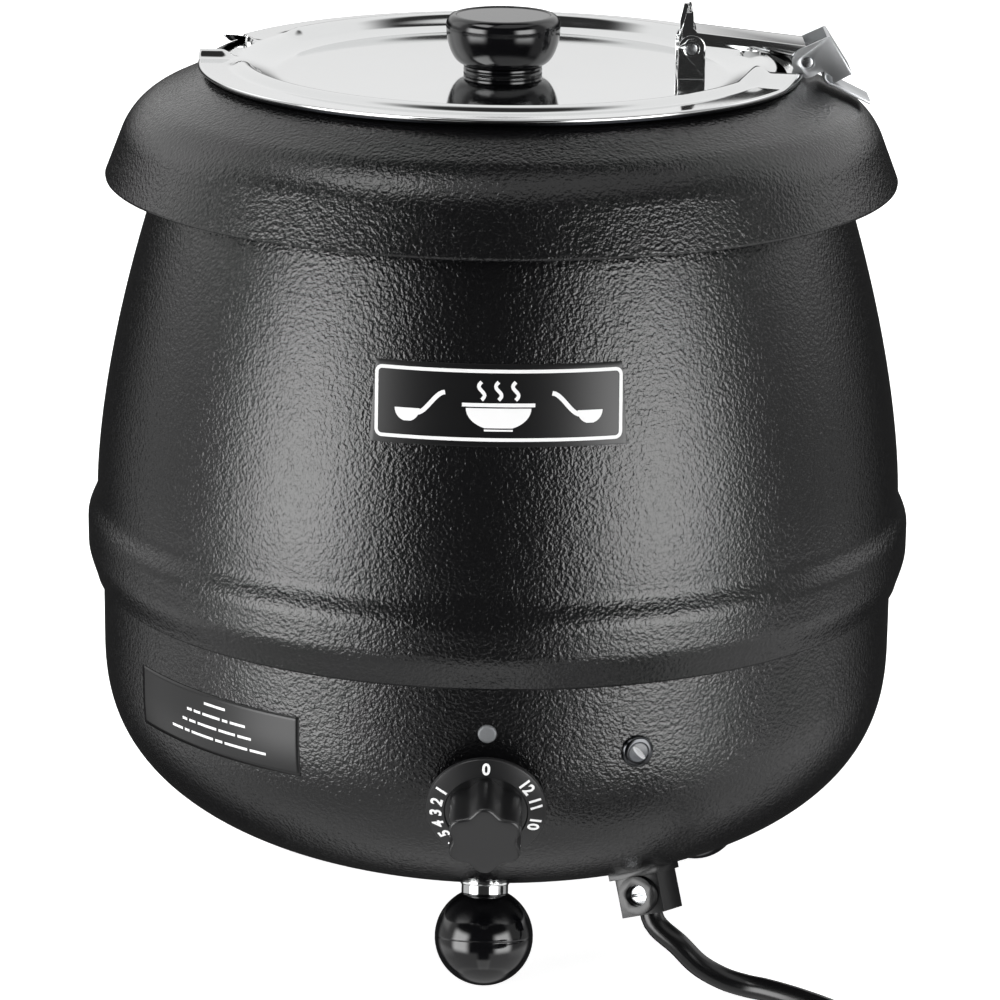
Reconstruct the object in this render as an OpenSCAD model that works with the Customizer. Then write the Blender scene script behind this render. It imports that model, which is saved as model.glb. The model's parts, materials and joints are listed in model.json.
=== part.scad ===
// Countertop soup kettle with a lift-out pot and a hinged, notched lid.
// Millimetres, +Z up. The origin is on the table under the middle of the body.
// The dial faces -Y, the lid's hinge is at +X and the ladle notch at -X.

/* [Overall size] */
// Widest diameter of the body, across the bead at the foot of the shell
body_d = 345; // [280:1:420]
// Height of the shell, from its lower edge to the crest of the top ring
shell_h = 212.5; // [170:0.5:260]
// Height of the base bowl that shows, from its bottom to the shell's lower edge
bowl_h = 116; // [90:1:145]
// Diameter of the ball feet
ball_d = 40.4; // [30:0.2:50]

/* [Sheet metal] */
// Thickness of the shell, top ring and base bowl
sheet_t = 1.2; // [0.8:0.1:2]
// Thickness of the water well
well_t = 1; // [0.7:0.1:1.6]
// Thickness of the soup pot
pot_t = 0.9; // [0.6:0.1:1.5]
// Thickness of the lid
lid_t = 0.8; // [0.6:0.1:1.4]
// How square the base bowl's curve is, 2 being an ellipse
bowl_square = 2.55; // [2:0.05:3.2]

/* [Lid, arm and hinge] */
// Outside diameter of the knob's head
knob_d = 47; // [36:1:60]
// Height of the knob above the lid
knob_h = 23.7; // [18:0.1:32]
// Width of the lid's arm
arm_w = 24; // [18:1:32]
// Diameter of the hinge pin and of the pin in the lid's bracket
pin_d = 4.5; // [3:0.1:6]
// Radial clearance of the arm and lever on their pins
pin_clear = 0.05; // [0.02:0.01:0.1]

/* [Controls] */
// Diameter of the dial's skirt
dial_d = 47; // [36:1:60]
// Height of the dial's grip in front of its skirt
grip_h = 20.5; // [14:0.5:28]
// Turn of the base bowl and all it carries against the shell, in degrees
base_turn = -1; // [-5:0.5:5]
// Diameter of the lamp's bezel
lamp_d = 13; // [9:0.5:18]

/* [Cord] */
// Diameter of the cord
cord_d = 9.5; // [6:0.5:11]

/* [Hidden] */
$fn = 64;

// ---- general helpers ----
function unit(v) = v / norm(v);
function right_of(a, b) = let (d = unit(b - a)) [d[1], -d[0]];
// A path moved sideways by t, to the right of its direction of travel
function moved(p, t) = [for (i = [0 : len(p) - 1])
    let (n1 = right_of(p[max(i - 1, 0)], p[max(i, 1)]),
         n2 = right_of(p[min(i, len(p) - 2)], p[min(i + 1, len(p) - 1)]),
         m = n1 + n2)
    p[i] + m * (2 * t / (m * m))];
function back(p) = [for (i = [len(p) - 1 : -1 : 0]) p[i]];
function strip(p, t) = concat(p, back(moved(p, t)));
// The same for a sheet that is turned round the Z axis, kept on its own side of the axis
function sheet(p, t) = [for (q = strip(p, t)) [max(q[0], 0), q[1]]];
// Points on an arc that rounds the corner b between a and c with radius r
function rounded(a, b, c, r, n = 6) =
    let (u = unit(a - b), v = unit(c - b),
         half = acos(u * v) / 2,
         m = b + unit(u + v) * (r / sin(half)),
         s = b + u * (r / tan(half)) - m,
         turn = (u[0] * v[1] - u[1] * v[0] > 0 ? -1 : 1) * (180 - 2 * half))
    [for (i = [0 : n]) let (w = turn * i / n)
        m + [s[0] * cos(w) - s[1] * sin(w), s[0] * sin(w) + s[1] * cos(w)]];
// A skin of thickness t on the stretch of a falling path p between the heights z[0] and z[1]
function path_r(p, z) = lookup(z, [for (q = back(p)) [q[1], q[0]]]);
function skin_strip(p, z, t) = let (on = concat([[path_r(p, z[1]), z[1]]],
        [for (q = p) if (q[1] < z[1] - 0.3 && q[1] > z[0] + 0.3) q], [[path_r(p, z[0]), z[0]]]))
    concat(on, back(moved(on, -t)));
function ease(u) = let (c = min(max(u, 0), 1)) c * c * (3 - 2 * c);
function polar(r, az) = [r * sin(az), -r * cos(az)];
// The point where a tangent from p touches the circle of radius r about c
function touch(p, c, r, side) =
    let (d = p - c, w = atan2(d[1], d[0]) + side * acos(r / norm(d)))
    c + r * [cos(w), sin(w)];

module turned(p) { rotate_extrude($fn = 96) polygon(p); }
// A flat outline in X and Z, extruded along Y between y0 and y1
module plate_y(y0, y1) { translate([0, y1, 0]) rotate([90, 0, 0]) linear_extrude(y1 - y0) children(); }
// A cylinder along Y
module rod_y(x, z, r, y0, y1, fn = 32) {
    translate([x, y0, z]) rotate([-90, 0, 0]) cylinder(r = r, h = y1 - y0, $fn = fn);
}
// What stands on the bowl at angle az, height z, leaning by tilt below level; its +Z points out
module on_bowl(az, r, z, tilt) {
    rotate([0, 0, az]) translate([0, -r, z]) rotate([90 + tilt, 0, 0]) children();
}
// A hexagon nut with a bore
module nut(flat, h, bore) {
    difference() {
        cylinder(d = flat / cos(30), h = h, $fn = 6);
        translate([0, 0, -1]) cylinder(r = bore, h = h + 2, $fn = 24);
    }
}
// A pan-head screw whose head stands on z = 0 and whose shank goes down
module pan_screw(head_r, head_h, shank_r, shank_l) {
    difference() {
        cylinder(r = head_r, h = head_h, $fn = 24);
        translate([-head_r, -0.5, head_h - 0.6]) cube([2 * head_r, 1, 1]);
    }
    translate([0, 0, -shank_l]) cylinder(r = shank_r, h = shank_l + 0.1, $fn = 24);
}

// ---- main levels and radii ----
R = body_d / 2;
k = body_d / 345;
bowl_z = ball_d * 0.8192;
seam_z = bowl_z + bowl_h;
crest_z = seam_z + shell_h;
bowl_r = R - 6.2;
open_r = 122.5 * k;
ring_slope = 0.478;
function ring_top(r) = crest_z - ring_slope * (r - open_r);

// ---- base bowl: a flattened round bowl, drawn from its top edge to the middle of its floor ----
bowl_top = seam_z + 20;
bowl_bend = seam_z - 27;
function bowl_at(w) = [bowl_r * pow(sin(w), 2 / bowl_square),
    bowl_bend - (bowl_bend - bowl_z) * pow(cos(w), 2 / bowl_square)];
bowl_path = concat([[bowl_r, bowl_top]], [for (i = [16 : -1 : 0]) bowl_at(90 * i / 16)]);
// Height of the bowl's outside at radius r, and the slope of its wall there in degrees
function bowl_z_at(r) = bowl_bend - (bowl_bend - bowl_z)
    * pow(max(1 - pow(min(r / bowl_r, 1), bowl_square), 0), 1 / bowl_square);
function bowl_r_at(z) = z > bowl_bend ? bowl_r : bowl_r
    * pow(1 - pow((bowl_bend - z) / (bowl_bend - bowl_z), bowl_square), 1 / bowl_square);
function bowl_lean(r) = atan((bowl_z_at(r + 1) - bowl_z_at(r - 1)) / 2);

// ---- shell: a flared wall over a rounded bead ----
neck_z = crest_z - 40.5;
waist_z = seam_z + 36 * shell_h / 212.5;
neck_r = 140.6 * k;
waist_r = 168.5 * k;
function shell_r(z) = waist_r - (waist_r - neck_r) * pow(max((z - waist_z) / (neck_z - waist_z), 0), 1.63)
    + (abs(z - seam_z - 17) < 22 ? (R - waist_r) * pow(cos((z - seam_z - 17) * 90 / 22), 2) : 0);
lip_z = crest_z - 4.1;
shell_path = concat(
    [[open_r, lip_z], [open_r + 3.8, lip_z], [open_r + 6.8, lip_z - 2.8], [open_r + 7.8, lip_z - 6.5],
     [131.6 * k, crest_z - 18]],
    [for (i = [0 : 9]) let (z = neck_z + (waist_z + 6 - neck_z) * i / 9) [shell_r(z), z]],
    [for (i = [0 : 9]) let (z = seam_z + 36 - 35 * i / 9) if (z < waist_z + 4) [shell_r(z), z]],
    [[bowl_r + sheet_t + 0.4, seam_z]]);

// ---- top ring: a sloping face, a rounded shoulder and a flared skirt ----
ring_corner = [open_r + 30.06 * k, ring_top(open_r + 30.06 * k)];
ring_foot = [163.5 * k, crest_z - 42.3];
ring_in = [open_r - 1.5, crest_z - 0.9];
ring_path = concat(
    [[open_r - 1.5, lip_z + well_t], ring_in, [open_r - 0.7, crest_z - 0.1]],
    rounded([open_r, crest_z], ring_corner, ring_foot, 30 * k, 8),
    [ring_foot, ring_foot + [-0.5, -1.2]]);

// ---- water well and soup pot ----
well_r = open_r - 1.9;
well_z = bowl_z + 70;
well_path = concat([[open_r + 2.6, lip_z], [well_r, lip_z]],
    rounded([well_r, lip_z], [well_r, well_z], [0, well_z], 16, 6), [[0, well_z]]);
pot_r = open_r - 4.9;
pot_z = well_z + 21;
rim_z = crest_z + 0.2;
rim_r = open_r + 0.7;
rim_h = 2.1;
pot_path = concat([[rim_r - 0.4, rim_z], [pot_r, rim_z]],
    rounded([pot_r, rim_z], [pot_r, pot_z], [0, pot_z], 24, 6), [[0, pot_z]]);
rim_section = [[rim_r - 2.4, rim_z], [rim_r - 0.4, rim_z], [rim_r, rim_z + 0.5], [rim_r, rim_z + rim_h - 0.6],
    [rim_r - 0.6, rim_z + rim_h], [rim_r - 1.9, rim_z + rim_h], [rim_r - 2.4, rim_z + rim_h - 0.5]];

// ---- lid ----
lid_r = open_r + 2.5;
brim_z = rim_z + rim_h + 0.3 + lid_t;
panel_z = brim_z - 4.1;
function lid_top(r) = panel_z + (brim_z - panel_z) * ease((r - 92 * k) / (18 * k));
lid_path = concat([[0, panel_z]], [for (i = [0 : 6]) let (r = (92 + 3 * i) * k) [r, lid_top(r)]],
    [[lid_r - 0.9, brim_z], [lid_r, brim_z - 0.7], [lid_r, brim_z - lid_t - 0.8]]);
rib_r = 106.5 * k;
rib_w = 6.2;
function rib_section() = concat(
    [for (i = [0 : 8]) let (r = rib_r + rib_w * (i / 4 - 1)) [r, lid_top(r) + 2.5 * pow(sin(22.5 * i), 1.3)]],
    [for (i = [4 : -1 : 0]) let (r = rib_r + rib_w * (i / 2 - 1)) [r, lid_top(r) - 0.5]]);
notch_az = [-110, -92];
cut_az = [73, 107];

// ---- arm, bracket and hinge, in the XZ plane ----
aw = arm_w / 2;
side_t = 1.3;
ax = [76.9 * k, brim_z + 8.3];
px = [open_r + 1.6, rim_z + rim_h + 4.5];
pr = pin_d / 2;
arm_l = [ax[0] + 0.2, ax[1] + 6.7];
arm_r = [px[0] - 0.6, px[1] + 6.4];
arm_d = unit(arm_r - arm_l);
arm_n = [-arm_d[1], arm_d[0]];
tab_h = 8.6;
chan_in = aw + 0.35;
chan_out = chan_in + 1.2;
web_a = px + [8.7, 10.9];
web_b = px + [18.6, -4.4];
web_c = px + [10.8, -8.6];
chan_end = 6.2;
lever_c = px + [9.3, -2.4];
lever_pin_r = 1.5;

// ---- controls on the base bowl ----
dial_z = bowl_z + 70.4;
dial_lean = 15;
dial_at = bowl_r_at(dial_z);
lamp_az = 20.6;
lamp_z = bowl_z + 88;
dot_z = bowl_z + 97.7;

// ---- feet, each square to the bowl's slope ----
foot_r0 = 95 * k;
foot_z0 = bowl_z_at(foot_r0);
foot_lean = bowl_lean(foot_r0);
ball_r = ball_d / 2;
// The ball's middle is a little lower than its radius, which leaves the small flat that it stands on
ball_z = ball_r - 0.2;
foot_drop = (foot_z0 - ball_z) / cos(foot_lean);
collar_r = 9.6;
collar_h = foot_drop - sqrt(ball_r * ball_r - collar_r * collar_r);
foot_az = [-1, 119, 239];

// ---- cord's way in, on the underside ----
gland_az = 33.5;
gland_r = 115 * k;
gland_lean = bowl_lean(gland_r);
gland_turn = -56;
gland_w = 19;
gland_l = 18;

// ================= base =================
module outer_shell() { color("#26272a") turned(sheet(shell_path, sheet_t)); }

module top_ring() { color("#26272a") turned(sheet(ring_path, sheet_t)); }

module base_bowl() {
    color("#26272a") difference() {
        union() {
            turned(sheet(bowl_path, sheet_t));
            // band that the shell's lower edge is spun onto
            turned([[bowl_r - 0.2, seam_z - 0.4], [bowl_r + 0.4, seam_z], [bowl_r + 0.4, seam_z + 8], [bowl_r - 0.2, seam_z + 9]]);
        }
        rotate([0, 0, base_turn]) {
            on_bowl(0, dial_at, dial_z, dial_lean) translate([0, 0, -6]) cylinder(r = 5.2, h = 12, $fn = 32);
            on_bowl(0, bowl_r, dot_z, 0) translate([0, 0, -6]) cylinder(r = 1.5, h = 12, $fn = 24);
            for (a = foot_az) foot_place(a) translate([0, 0, -6]) cylinder(r = 4, h = 12, $fn = 24);
            translate([0, 0, bowl_z - 2]) cylinder(r = 3, h = 8, $fn = 24);
            for (s = [-1, 1]) on_bowl(0, dial_at, dial_z, dial_lean) translate([14 * s, 0, -6]) cylinder(r = 2, h = 12, $fn = 24);
        }
        gland_place() translate([0, 0, -8]) cylinder(r = 5.6, h = 16, $fn = 32);
        at_lamp() translate([0, 0, -8]) cylinder(r = lamp_d / 2 - 1.7, h = 14, $fn = 40);
    }
}

module base_solid() { turned(concat(bowl_path, [[0, bowl_top]])); }

module water_well() {
    color("#b9bcc0") union() {
        turned(sheet(well_path, well_t));
        // weld-nut boss that the tie bolt screws into
        translate([0, 0, well_z - 12]) difference() {
            cylinder(r = 7, h = 12.2, $fn = 32);
            translate([0, 0, -1]) cylinder(r = 3, h = 11, $fn = 24);
        }
    }
}

module tie_bolt() {
    color("#b0b2b4") {
        translate([0, 0, bowl_z - 5.6]) cylinder(d = 10 / cos(30), h = 4, $fn = 6);
        translate([0, 0, bowl_z - 1.7]) cylinder(r = 3, h = well_z - bowl_z - 1, $fn = 24);
    }
}

module tie_washer() {
    color("#9fa1a3") translate([0, 0, bowl_z - 1.6]) difference() {
        cylinder(r = 9, h = 1.6, $fn = 32);
        translate([0, 0, -1]) cylinder(r = 3.2, h = 4, $fn = 24);
    }
}

heat_r = 74 * k;
heat_tube = 4;
module heating_element() {
    color("#6b6f6b") {
        translate([0, 0, well_z - heat_tube]) difference() {
            rotate_extrude($fn = 72) translate([heat_r, 0]) circle(r = heat_tube, $fn = 20);
            translate([-7, -heat_r - 6, -6]) cube([14, 12, 12]);
        }
        for (s = [-1, 1]) translate([7 * s, -heat_r, well_z - heat_tube]) {
            translate([0, 0, -14]) cylinder(r = 3.4, h = 14.5, $fn = 20);
        }
    }
}

stud_r = 57 * k;
module clamp_studs() {
    color("#b0b2b4") for (a = [60, 180, 300]) translate(concat(polar(stud_r, a), [well_z - 18]))
        cylinder(r = 2.5, h = 18, $fn = 20);
}

module clamp_plate() {
    color("#c9cbcd") translate([0, 0, well_z - 2 * heat_tube - 1.5]) difference() {
        cylinder(r = heat_r + 8, h = 1.5, $fn = 72);
        translate([0, 0, -1]) cylinder(r = stud_r - 9, h = 4, $fn = 64);
        for (a = [60, 180, 300]) translate(concat(polar(stud_r, a), [-1])) cylinder(r = 2.7, h = 4, $fn = 20);
        translate([-12, -heat_r - 9, -1]) cube([24, 17, 4]);
    }
}

module clamp_nuts() {
    color("#b0b2b4") for (a = [60, 180, 300]) translate(concat(polar(stud_r, a), [well_z - 2 * heat_tube - 5.5]))
        nut(8, 4, 2.5);
}

module insulation() {
    color("#d8cfa8") difference() {
        translate([0, 0, well_z + 22]) cylinder(r = open_r + 5, h = crest_z - well_z - 40, $fn = 72);
        translate([0, 0, well_z + 21]) cylinder(r = well_r, h = crest_z - well_z - 38, $fn = 96);
        translate([-8, -open_r - 9, well_z + 18]) cube([16, 14, 96]);
    }
}

module heat_shield() {
    // dished plate on the tie bolt that keeps the heat off the wiring
    color("#aeb2b4") translate([0, 0, well_z - 12 - 1]) difference() {
        cylinder(r = 44 * k, h = 1, $fn = 64);
        translate([0, 0, -1]) cylinder(r = 3, h = 3, $fn = 24);
    }
}

module thermostat_body() {
    color("#c8c2b0") rotate([0, 0, base_turn]) on_bowl(0, dial_at, dial_z, dial_lean) difference() {
        union() {
            translate([-17, -15, -30]) cube([34, 30, 24]);
            translate([-21, -9, -5.8]) cube([42, 18, 1.6]);
            translate([0, 0, -8]) cylinder(r = 6.5, h = 4.8, $fn = 32);
        }
        translate([0, 0, -22]) cylinder(r = 3.3, h = 24, $fn = 32);
        for (s = [-1, 1]) translate([14 * s, 0, -16]) cylinder(r = 2, h = 14, $fn = 24);
    }
}

module thermostat_shaft() {
    color("#c6a559") rotate([0, 0, base_turn]) on_bowl(0, dial_at, dial_z, dial_lean) difference() {
        translate([0, 0, -21]) cylinder(r = 3.2, h = 38, $fn = 32);
        translate([-4, 1.6, 5]) cube([8, 4, 13]);
    }
}

module thermostat_screws() {
    color("#b0b2b4") rotate([0, 0, base_turn]) on_bowl(0, dial_at, dial_z, dial_lean)
        for (s = [-1, 1]) translate([14 * s, 0, 0.9]) pan_screw(3.6, 1.6, 2, 12);
}

// bulb held on the well's side, and the fine tube that joins it to the thermostat
bulb_z = well_z + 60;
module capillary_bulb() {
    color("#b87746") {
        translate([0, -well_r - 3, bulb_z - 30]) cylinder(r = 3, h = 70, $fn = 24);
        translate([0, -well_r - 3, bulb_z - 42]) cylinder(r = 1, h = 12.1, $fn = 16);
    }
}

module dial() {
    color("#1b1c1f") rotate([0, 0, base_turn]) on_bowl(0, dial_at, dial_z, dial_lean) difference() {
        union() {
            // skirt, a shallow cone with a raised ring round the grip
            rotate_extrude($fn = 72) polygon([[0, 6.2], [dial_d / 2 - 2, 5], [dial_d / 2, 5.6], [dial_d / 2, 6.8],
                [dial_d / 2 - 0.6, 7.4], [16.5, 9.2], [15.9, 8.6], [0, 8.6]]);
            // grip with six lobes
            translate([0, 0, 7.4]) linear_extrude(grip_h + 1.2) polygon([for (i = [0 : 71])
                let (w = 5 * i) (14.1 + 1.35 * cos(6 * (w - 90))) * [cos(w), sin(w)]]);
            translate([0, 0, 3]) cylinder(r = 7, h = 5, $fn = 32);
        }
        // bore for the flatted shaft
        difference() {
            translate([0, 0, 0]) cylinder(r = 3.2, h = 17, $fn = 32);
            translate([-4, 1.6, 5]) cube([8, 4, 13]);
        }
    }
}

module index_dot() {
    color("#b9bbbc") rotate([0, 0, base_turn]) on_bowl(0, bowl_r, dot_z, 0) {
        cylinder(r1 = 3.7, r2 = 3.2, h = 1.2, $fn = 40);
        translate([0, 0, -3]) cylinder(r = 1.5, h = 3.1, $fn = 24);
    }
}

module at_lamp() { rotate([0, 0, base_turn]) on_bowl(lamp_az, bowl_r_at(lamp_z), lamp_z, 1.5) children(); }

module lamp_bezel() {
    color("#3a3c3f") difference() {
        at_lamp() union() {
            cylinder(r1 = lamp_d / 2, r2 = lamp_d / 2 - 0.8, h = 1.6, $fn = 48);
            translate([0, 0, -9]) cylinder(r = lamp_d / 2 - 1.7, h = 9.1, $fn = 40);
        }
        at_lamp() translate([0, 0, -12]) cylinder(r = 4.1, h = 20, $fn = 40);
    }
}

module lamp_lens() {
    color("#e8a13c") at_lamp() {
        translate([0, 0, -6]) cylinder(r = 4.1, h = 7.6, $fn = 40);
        translate([0, 0, 1.5]) cylinder(r1 = 4.1, r2 = 3.3, h = 0.7, $fn = 40);
    }
}

module lamp_body() {
    color("#d8d4c8") at_lamp() {
        translate([0, 0, -26]) cylinder(r = 5, h = 17, $fn = 32);
        translate([-3.1, -0.4, -33]) cube([2, 0.8, 7.1]);
        translate([1.1, -0.4, -33]) cube([2, 0.8, 7.1]);
    }
}

plate_z = [seam_z + 0.452 * shell_h, seam_z + 0.597 * shell_h];
plate_half = 17.8;
module nameplate() {
    color("#141416") rotate([0, 0, -90 - plate_half]) rotate_extrude(angle = 2 * plate_half, $fn = 120)
        polygon(skin_strip(shell_path, plate_z, 0.6));
}

label_z = [bowl_z + 72, bowl_z + 97];
module info_label() {
    color("#0e0e10") rotate([0, 0, base_turn - 90 - 58.6]) rotate_extrude(angle = 32, $fn = 120)
        polygon(skin_strip(bowl_path, label_z, 0.3));
}

// ---- wiring inside the bowl ----
block_p = [38, 34, bowl_z];
module terminal_block() {
    color("#e6e2d6") difference() {
        translate([30 * k, 14, bowl_z + 1]) cube([16, 44, 17]);
        base_keep_out();
        for (i = [0 : 2]) translate([38 * k, 21 + 15 * i, bowl_z + 8]) cylinder(r = 2, h = 20, $fn = 20);
    }
}
// everything outside the inner face of the base bowl
module base_keep_out() {
    difference() {
        translate([0, 0, bowl_z - 5]) cylinder(r = R + 20, h = bowl_h, $fn = 32);
        turned(concat([for (q = moved(bowl_path, sheet_t)) [max(q[0], 0), q[1]]], [[0, bowl_top]]));
    }
}
module terminal_screws() {
    color("#c6a559") for (i = [0 : 2]) translate([38 * k, 21 + 15 * i, bowl_z + 16.5]) {
        translate([0, 0, -8]) cylinder(r = 2, h = 8, $fn = 20);
        translate([0, 0, -1]) cylinder(r = 1.9, h = 1, $fn = 20);
    }
}
module earth_stud() {
    color("#c6a559") difference() {
        union() {
            translate([-36 * k, 24, bowl_z + 0.5]) cylinder(r = 2.5, h = 20, $fn = 20);
            translate([-36 * k, 24, bowl_z + 9]) nut(8, 4, 2.4);
            translate([-36 * k, 24, bowl_z + 0.5]) cylinder(r = 5.5, h = 4, $fn = 32);
        }
        base_keep_out();
    }
}

// ---- feet ----
module foot_place(a) {
    // origin on the bowl's outside, +Z along the foot's axis away from the bowl
    rotate([0, 0, a]) translate([0, -foot_r0, foot_z0]) rotate([180 - foot_lean, 0, 0]) children();
}
module ball_foot(a) {
    color("#121214") difference() {
        rotate([0, 0, base_turn]) difference() {
            foot_place(a) translate([0, 0, foot_drop]) sphere(r = ball_r, $fn = 64);
            foot_place(a) translate([0, 0, -20]) cylinder(r = ball_r * 2, h = 20 + collar_h, $fn = 32);
            foot_place(a) cylinder(r = 4, h = 16, $fn = 24);
        }
        // the small flat that it stands on
        translate([0, 0, -50]) cylinder(r = R, h = 50, $fn = 32);
    }
}
module foot_front() { ball_foot(foot_az[0]); }
module foot_right() { ball_foot(foot_az[1]); }
module foot_left() { ball_foot(foot_az[2]); }

module foot_collars() {
    color("#c4c6c8") difference() {
        rotate([0, 0, base_turn]) for (a = foot_az) foot_place(a) difference() {
            union() {
                translate([0, 0, -5]) cylinder(r = collar_r, h = 5 + collar_h, $fn = 48);
                translate([0, 0, -5]) cylinder(r = collar_r + 0.5, h = 6.4, $fn = 48);
            }
            translate([0, 0, -10]) cylinder(r = 4, h = 20, $fn = 24);
        }
        base_solid();
    }
}
module foot_studs() {
    color("#b0b2b4") rotate([0, 0, base_turn]) for (a = foot_az) foot_place(a)
        translate([0, 0, -11]) cylinder(r = 4, h = 27, $fn = 24);
}
module foot_nuts() {
    color("#b0b2b4") difference() {
        rotate([0, 0, base_turn]) for (a = foot_az) foot_place(a) translate([0, 0, -8.5]) nut(13, 8, 4);
        base_keep_out();
    }
}

// ---- cord gland: a square block with a clamp screw in a round boss ----
module gland_place() {
    rotate([0, 0, base_turn + gland_az]) translate([0, -gland_r, bowl_z_at(gland_r)]) rotate([180 - gland_lean, 0, 0])
        rotate([0, 0, -gland_turn]) children();
}
module gland_body() {
    color("#1c1d20") difference() {
        gland_place() union() {
            translate([-gland_w / 2, -gland_w / 2, 1.6]) cube([gland_w, gland_w, gland_l - 1.6]);
            translate([-gland_w / 2 - 2.2, -gland_w / 2 - 1, -4]) cube([gland_w + 3.6, gland_w + 2, 6.2]);
            translate([0, 0, -12]) cylinder(r = 5.6, h = 14, $fn = 32);
            translate([0, gland_w / 2 - 0.1, gland_l / 2 + 0.6]) rotate([-90, 0, 0]) cylinder(r = 7.9, h = 3.6, $fn = 40);
        }
        // way for the cord
        gland_place() translate([0, 0, -20]) cylinder(r = cord_d / 2 + 0.15, h = gland_l + 30, $fn = 32);
        gland_place() translate([0, 0, gland_l - 7]) cylinder(r1 = cord_d / 2, r2 = cord_d / 2 + 1.6, h = 7.1, $fn = 32);
        gland_place() translate([0, 1.9, gland_l / 2 + 0.6]) rotate([-90, 0, 0]) cylinder(r = 4.4, h = 20, $fn = 32);
        difference() {
            base_solid();
            gland_place() translate([0, 0, -20]) cylinder(r = 5.6, h = 40, $fn = 32);
        }
    }
}
module gland_clamp() {
    // saddle that presses on the cord
    color("#d8d4c8") gland_place() difference() {
        translate([0, 2, gland_l / 2 + 0.6]) rotate([-90, 0, 0]) cylinder(r = 4.3, h = 4.4, $fn = 32);
        translate([0, 0, -20]) cylinder(r = cord_d / 2 + 0.35, h = 60, $fn = 32);
    }
}
module gland_screw() {
    color("#9fa1a3") gland_place() translate([0, 6.4, gland_l / 2 + 0.6]) rotate([-90, 0, 0]) difference() {
        cylinder(r = 4.4, h = 3, $fn = 32);
        translate([-3.4, -0.5, 1.8]) cube([6.8, 1, 3]);
    }
}
module gland_nut() {
    color("#b0b2b4") difference() {
        gland_place() translate([0, 0, -9]) nut(15, 8, 5.6);
        base_keep_out();
    }
}

// ================= pot and hinge =================
module soup_pot() {
    color("#c7c9cc") union() {
        turned(sheet(pot_path, pot_t));
        turned(rim_section);
    }
}

module rim_solid() { turned([[pot_r, rim_z], [rim_r, rim_z], [rim_r, rim_z + rim_h], [pot_r, rim_z + rim_h]]); }

module cheek_2d() {
    t1 = touch(web_a, px, chan_end, 1);
    difference() {
        union() {
            translate(px) circle(r = chan_end, $fn = 48);
            polygon([px, t1, web_a, web_b, web_c, web_c + [-0.4, 2.7], px + [7.4, -3.6], px + [4.9, -4.2], px + [2.1, -5.6]]);
        }
    }
}
module hinge_channel() {
    color("#d2d4d6") difference() {
        union() {
            for (s = [-1, 1]) plate_y(min(s * chan_in, s * chan_out), max(s * chan_in, s * chan_out)) cheek_2d();
            plate_y(-chan_out, chan_out) polygon(strip([web_a, web_b], 1.1));
        }
        rim_solid();
        rod_y(px[0], px[1], pr, -30, 30);
        for (s = [-1, 1]) rod_y(px[0], px[1], pr + 0.85, s > 0 ? chan_out - 0.7 : -chan_out - 1, s > 0 ? chan_out + 1 : -chan_out + 0.7);
    }
}
module hinge_pin() { color("#77797c") rod_y(px[0], px[1], pr, -chan_out, chan_out); }
module lever_pin() { color("#b0b2b4") rod_y(lever_c[0], lever_c[1], lever_pin_r, -chan_in, chan_in, 24); }

lever_path = [lever_c + [-1.9, 1.2], lever_c + [-2.4, -1.6], px + [6.7, -6.4], px + [7.3, -8.2], px + [8.9, -9.5],
    px + [11.5, -10.4], px + [26.3, -17.6]];
module release_lever() {
    w = aw - 0.6;
    color("#c9cbcd") difference() {
        union() {
            plate_y(-w, w) polygon(strip(lever_path, -1.2));
            rod_y(lever_c[0], lever_c[1], lever_pin_r + 1.2, -w, w, 32);
        }
        rod_y(lever_c[0], lever_c[1], lever_pin_r + pin_clear, -w - 1, w + 1, 32);
        translate([lever_c[0] - 2.9, -4.4, lever_c[1] - 3.2]) cube([6.4, 8.8, 7]);
    }
}
module lever_spring() {
    // closed rings a little apart, and the leg that bears on the channel
    color("#8e9093") {
        for (i = [-4 : 3]) translate([lever_c[0], i * 0.9, lever_c[1]]) rotate([90, 0, 0])
            rotate_extrude($fn = 32) translate([1.95, 0]) circle(r = 0.38, $fn = 10);
        translate([lever_c[0], 3.62, lever_c[1]]) rotate([0, 56, 0]) translate([-1.95, 0, 0])
            cylinder(r = 0.38, h = 4.6, $fn = 10);
    }
}

// ================= lid =================
module sector(r0, r1, z0, z1, a0, a1) {
    rotate([0, 0, a0 - 90]) rotate_extrude(angle = a1 - a0, $fn = 120) polygon([[r0, z0], [r1, z0], [r1, z1], [r0, z1]]);
}
module lid() {
    color("#d5d7da") difference() {
        union() {
            turned(sheet(lid_path, lid_t));
            rotate([0, 0, -84 - 90]) rotate_extrude(angle = 162, $fn = 120) polygon(rib_section());
            rotate([0, 0, 118 - 90]) rotate_extrude(angle = 120, $fn = 120) polygon(rib_section());
        }
        sector(114.8 * k, lid_r + 5, panel_z - 5, brim_z + 9, notch_az[0], notch_az[1]);
        sector(112.5 * k, lid_r + 5, panel_z - 5, brim_z + 9, cut_az[0], cut_az[1]);
        translate([0, 0, panel_z - 5]) cylinder(r = 2.6, h = 10, $fn = 24);
        for (s = [-1, 1]) translate([ax[0] + 0, 6 * s, panel_z - 5]) cylinder(r = 2, h = 10, $fn = 24);
    }
}

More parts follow.
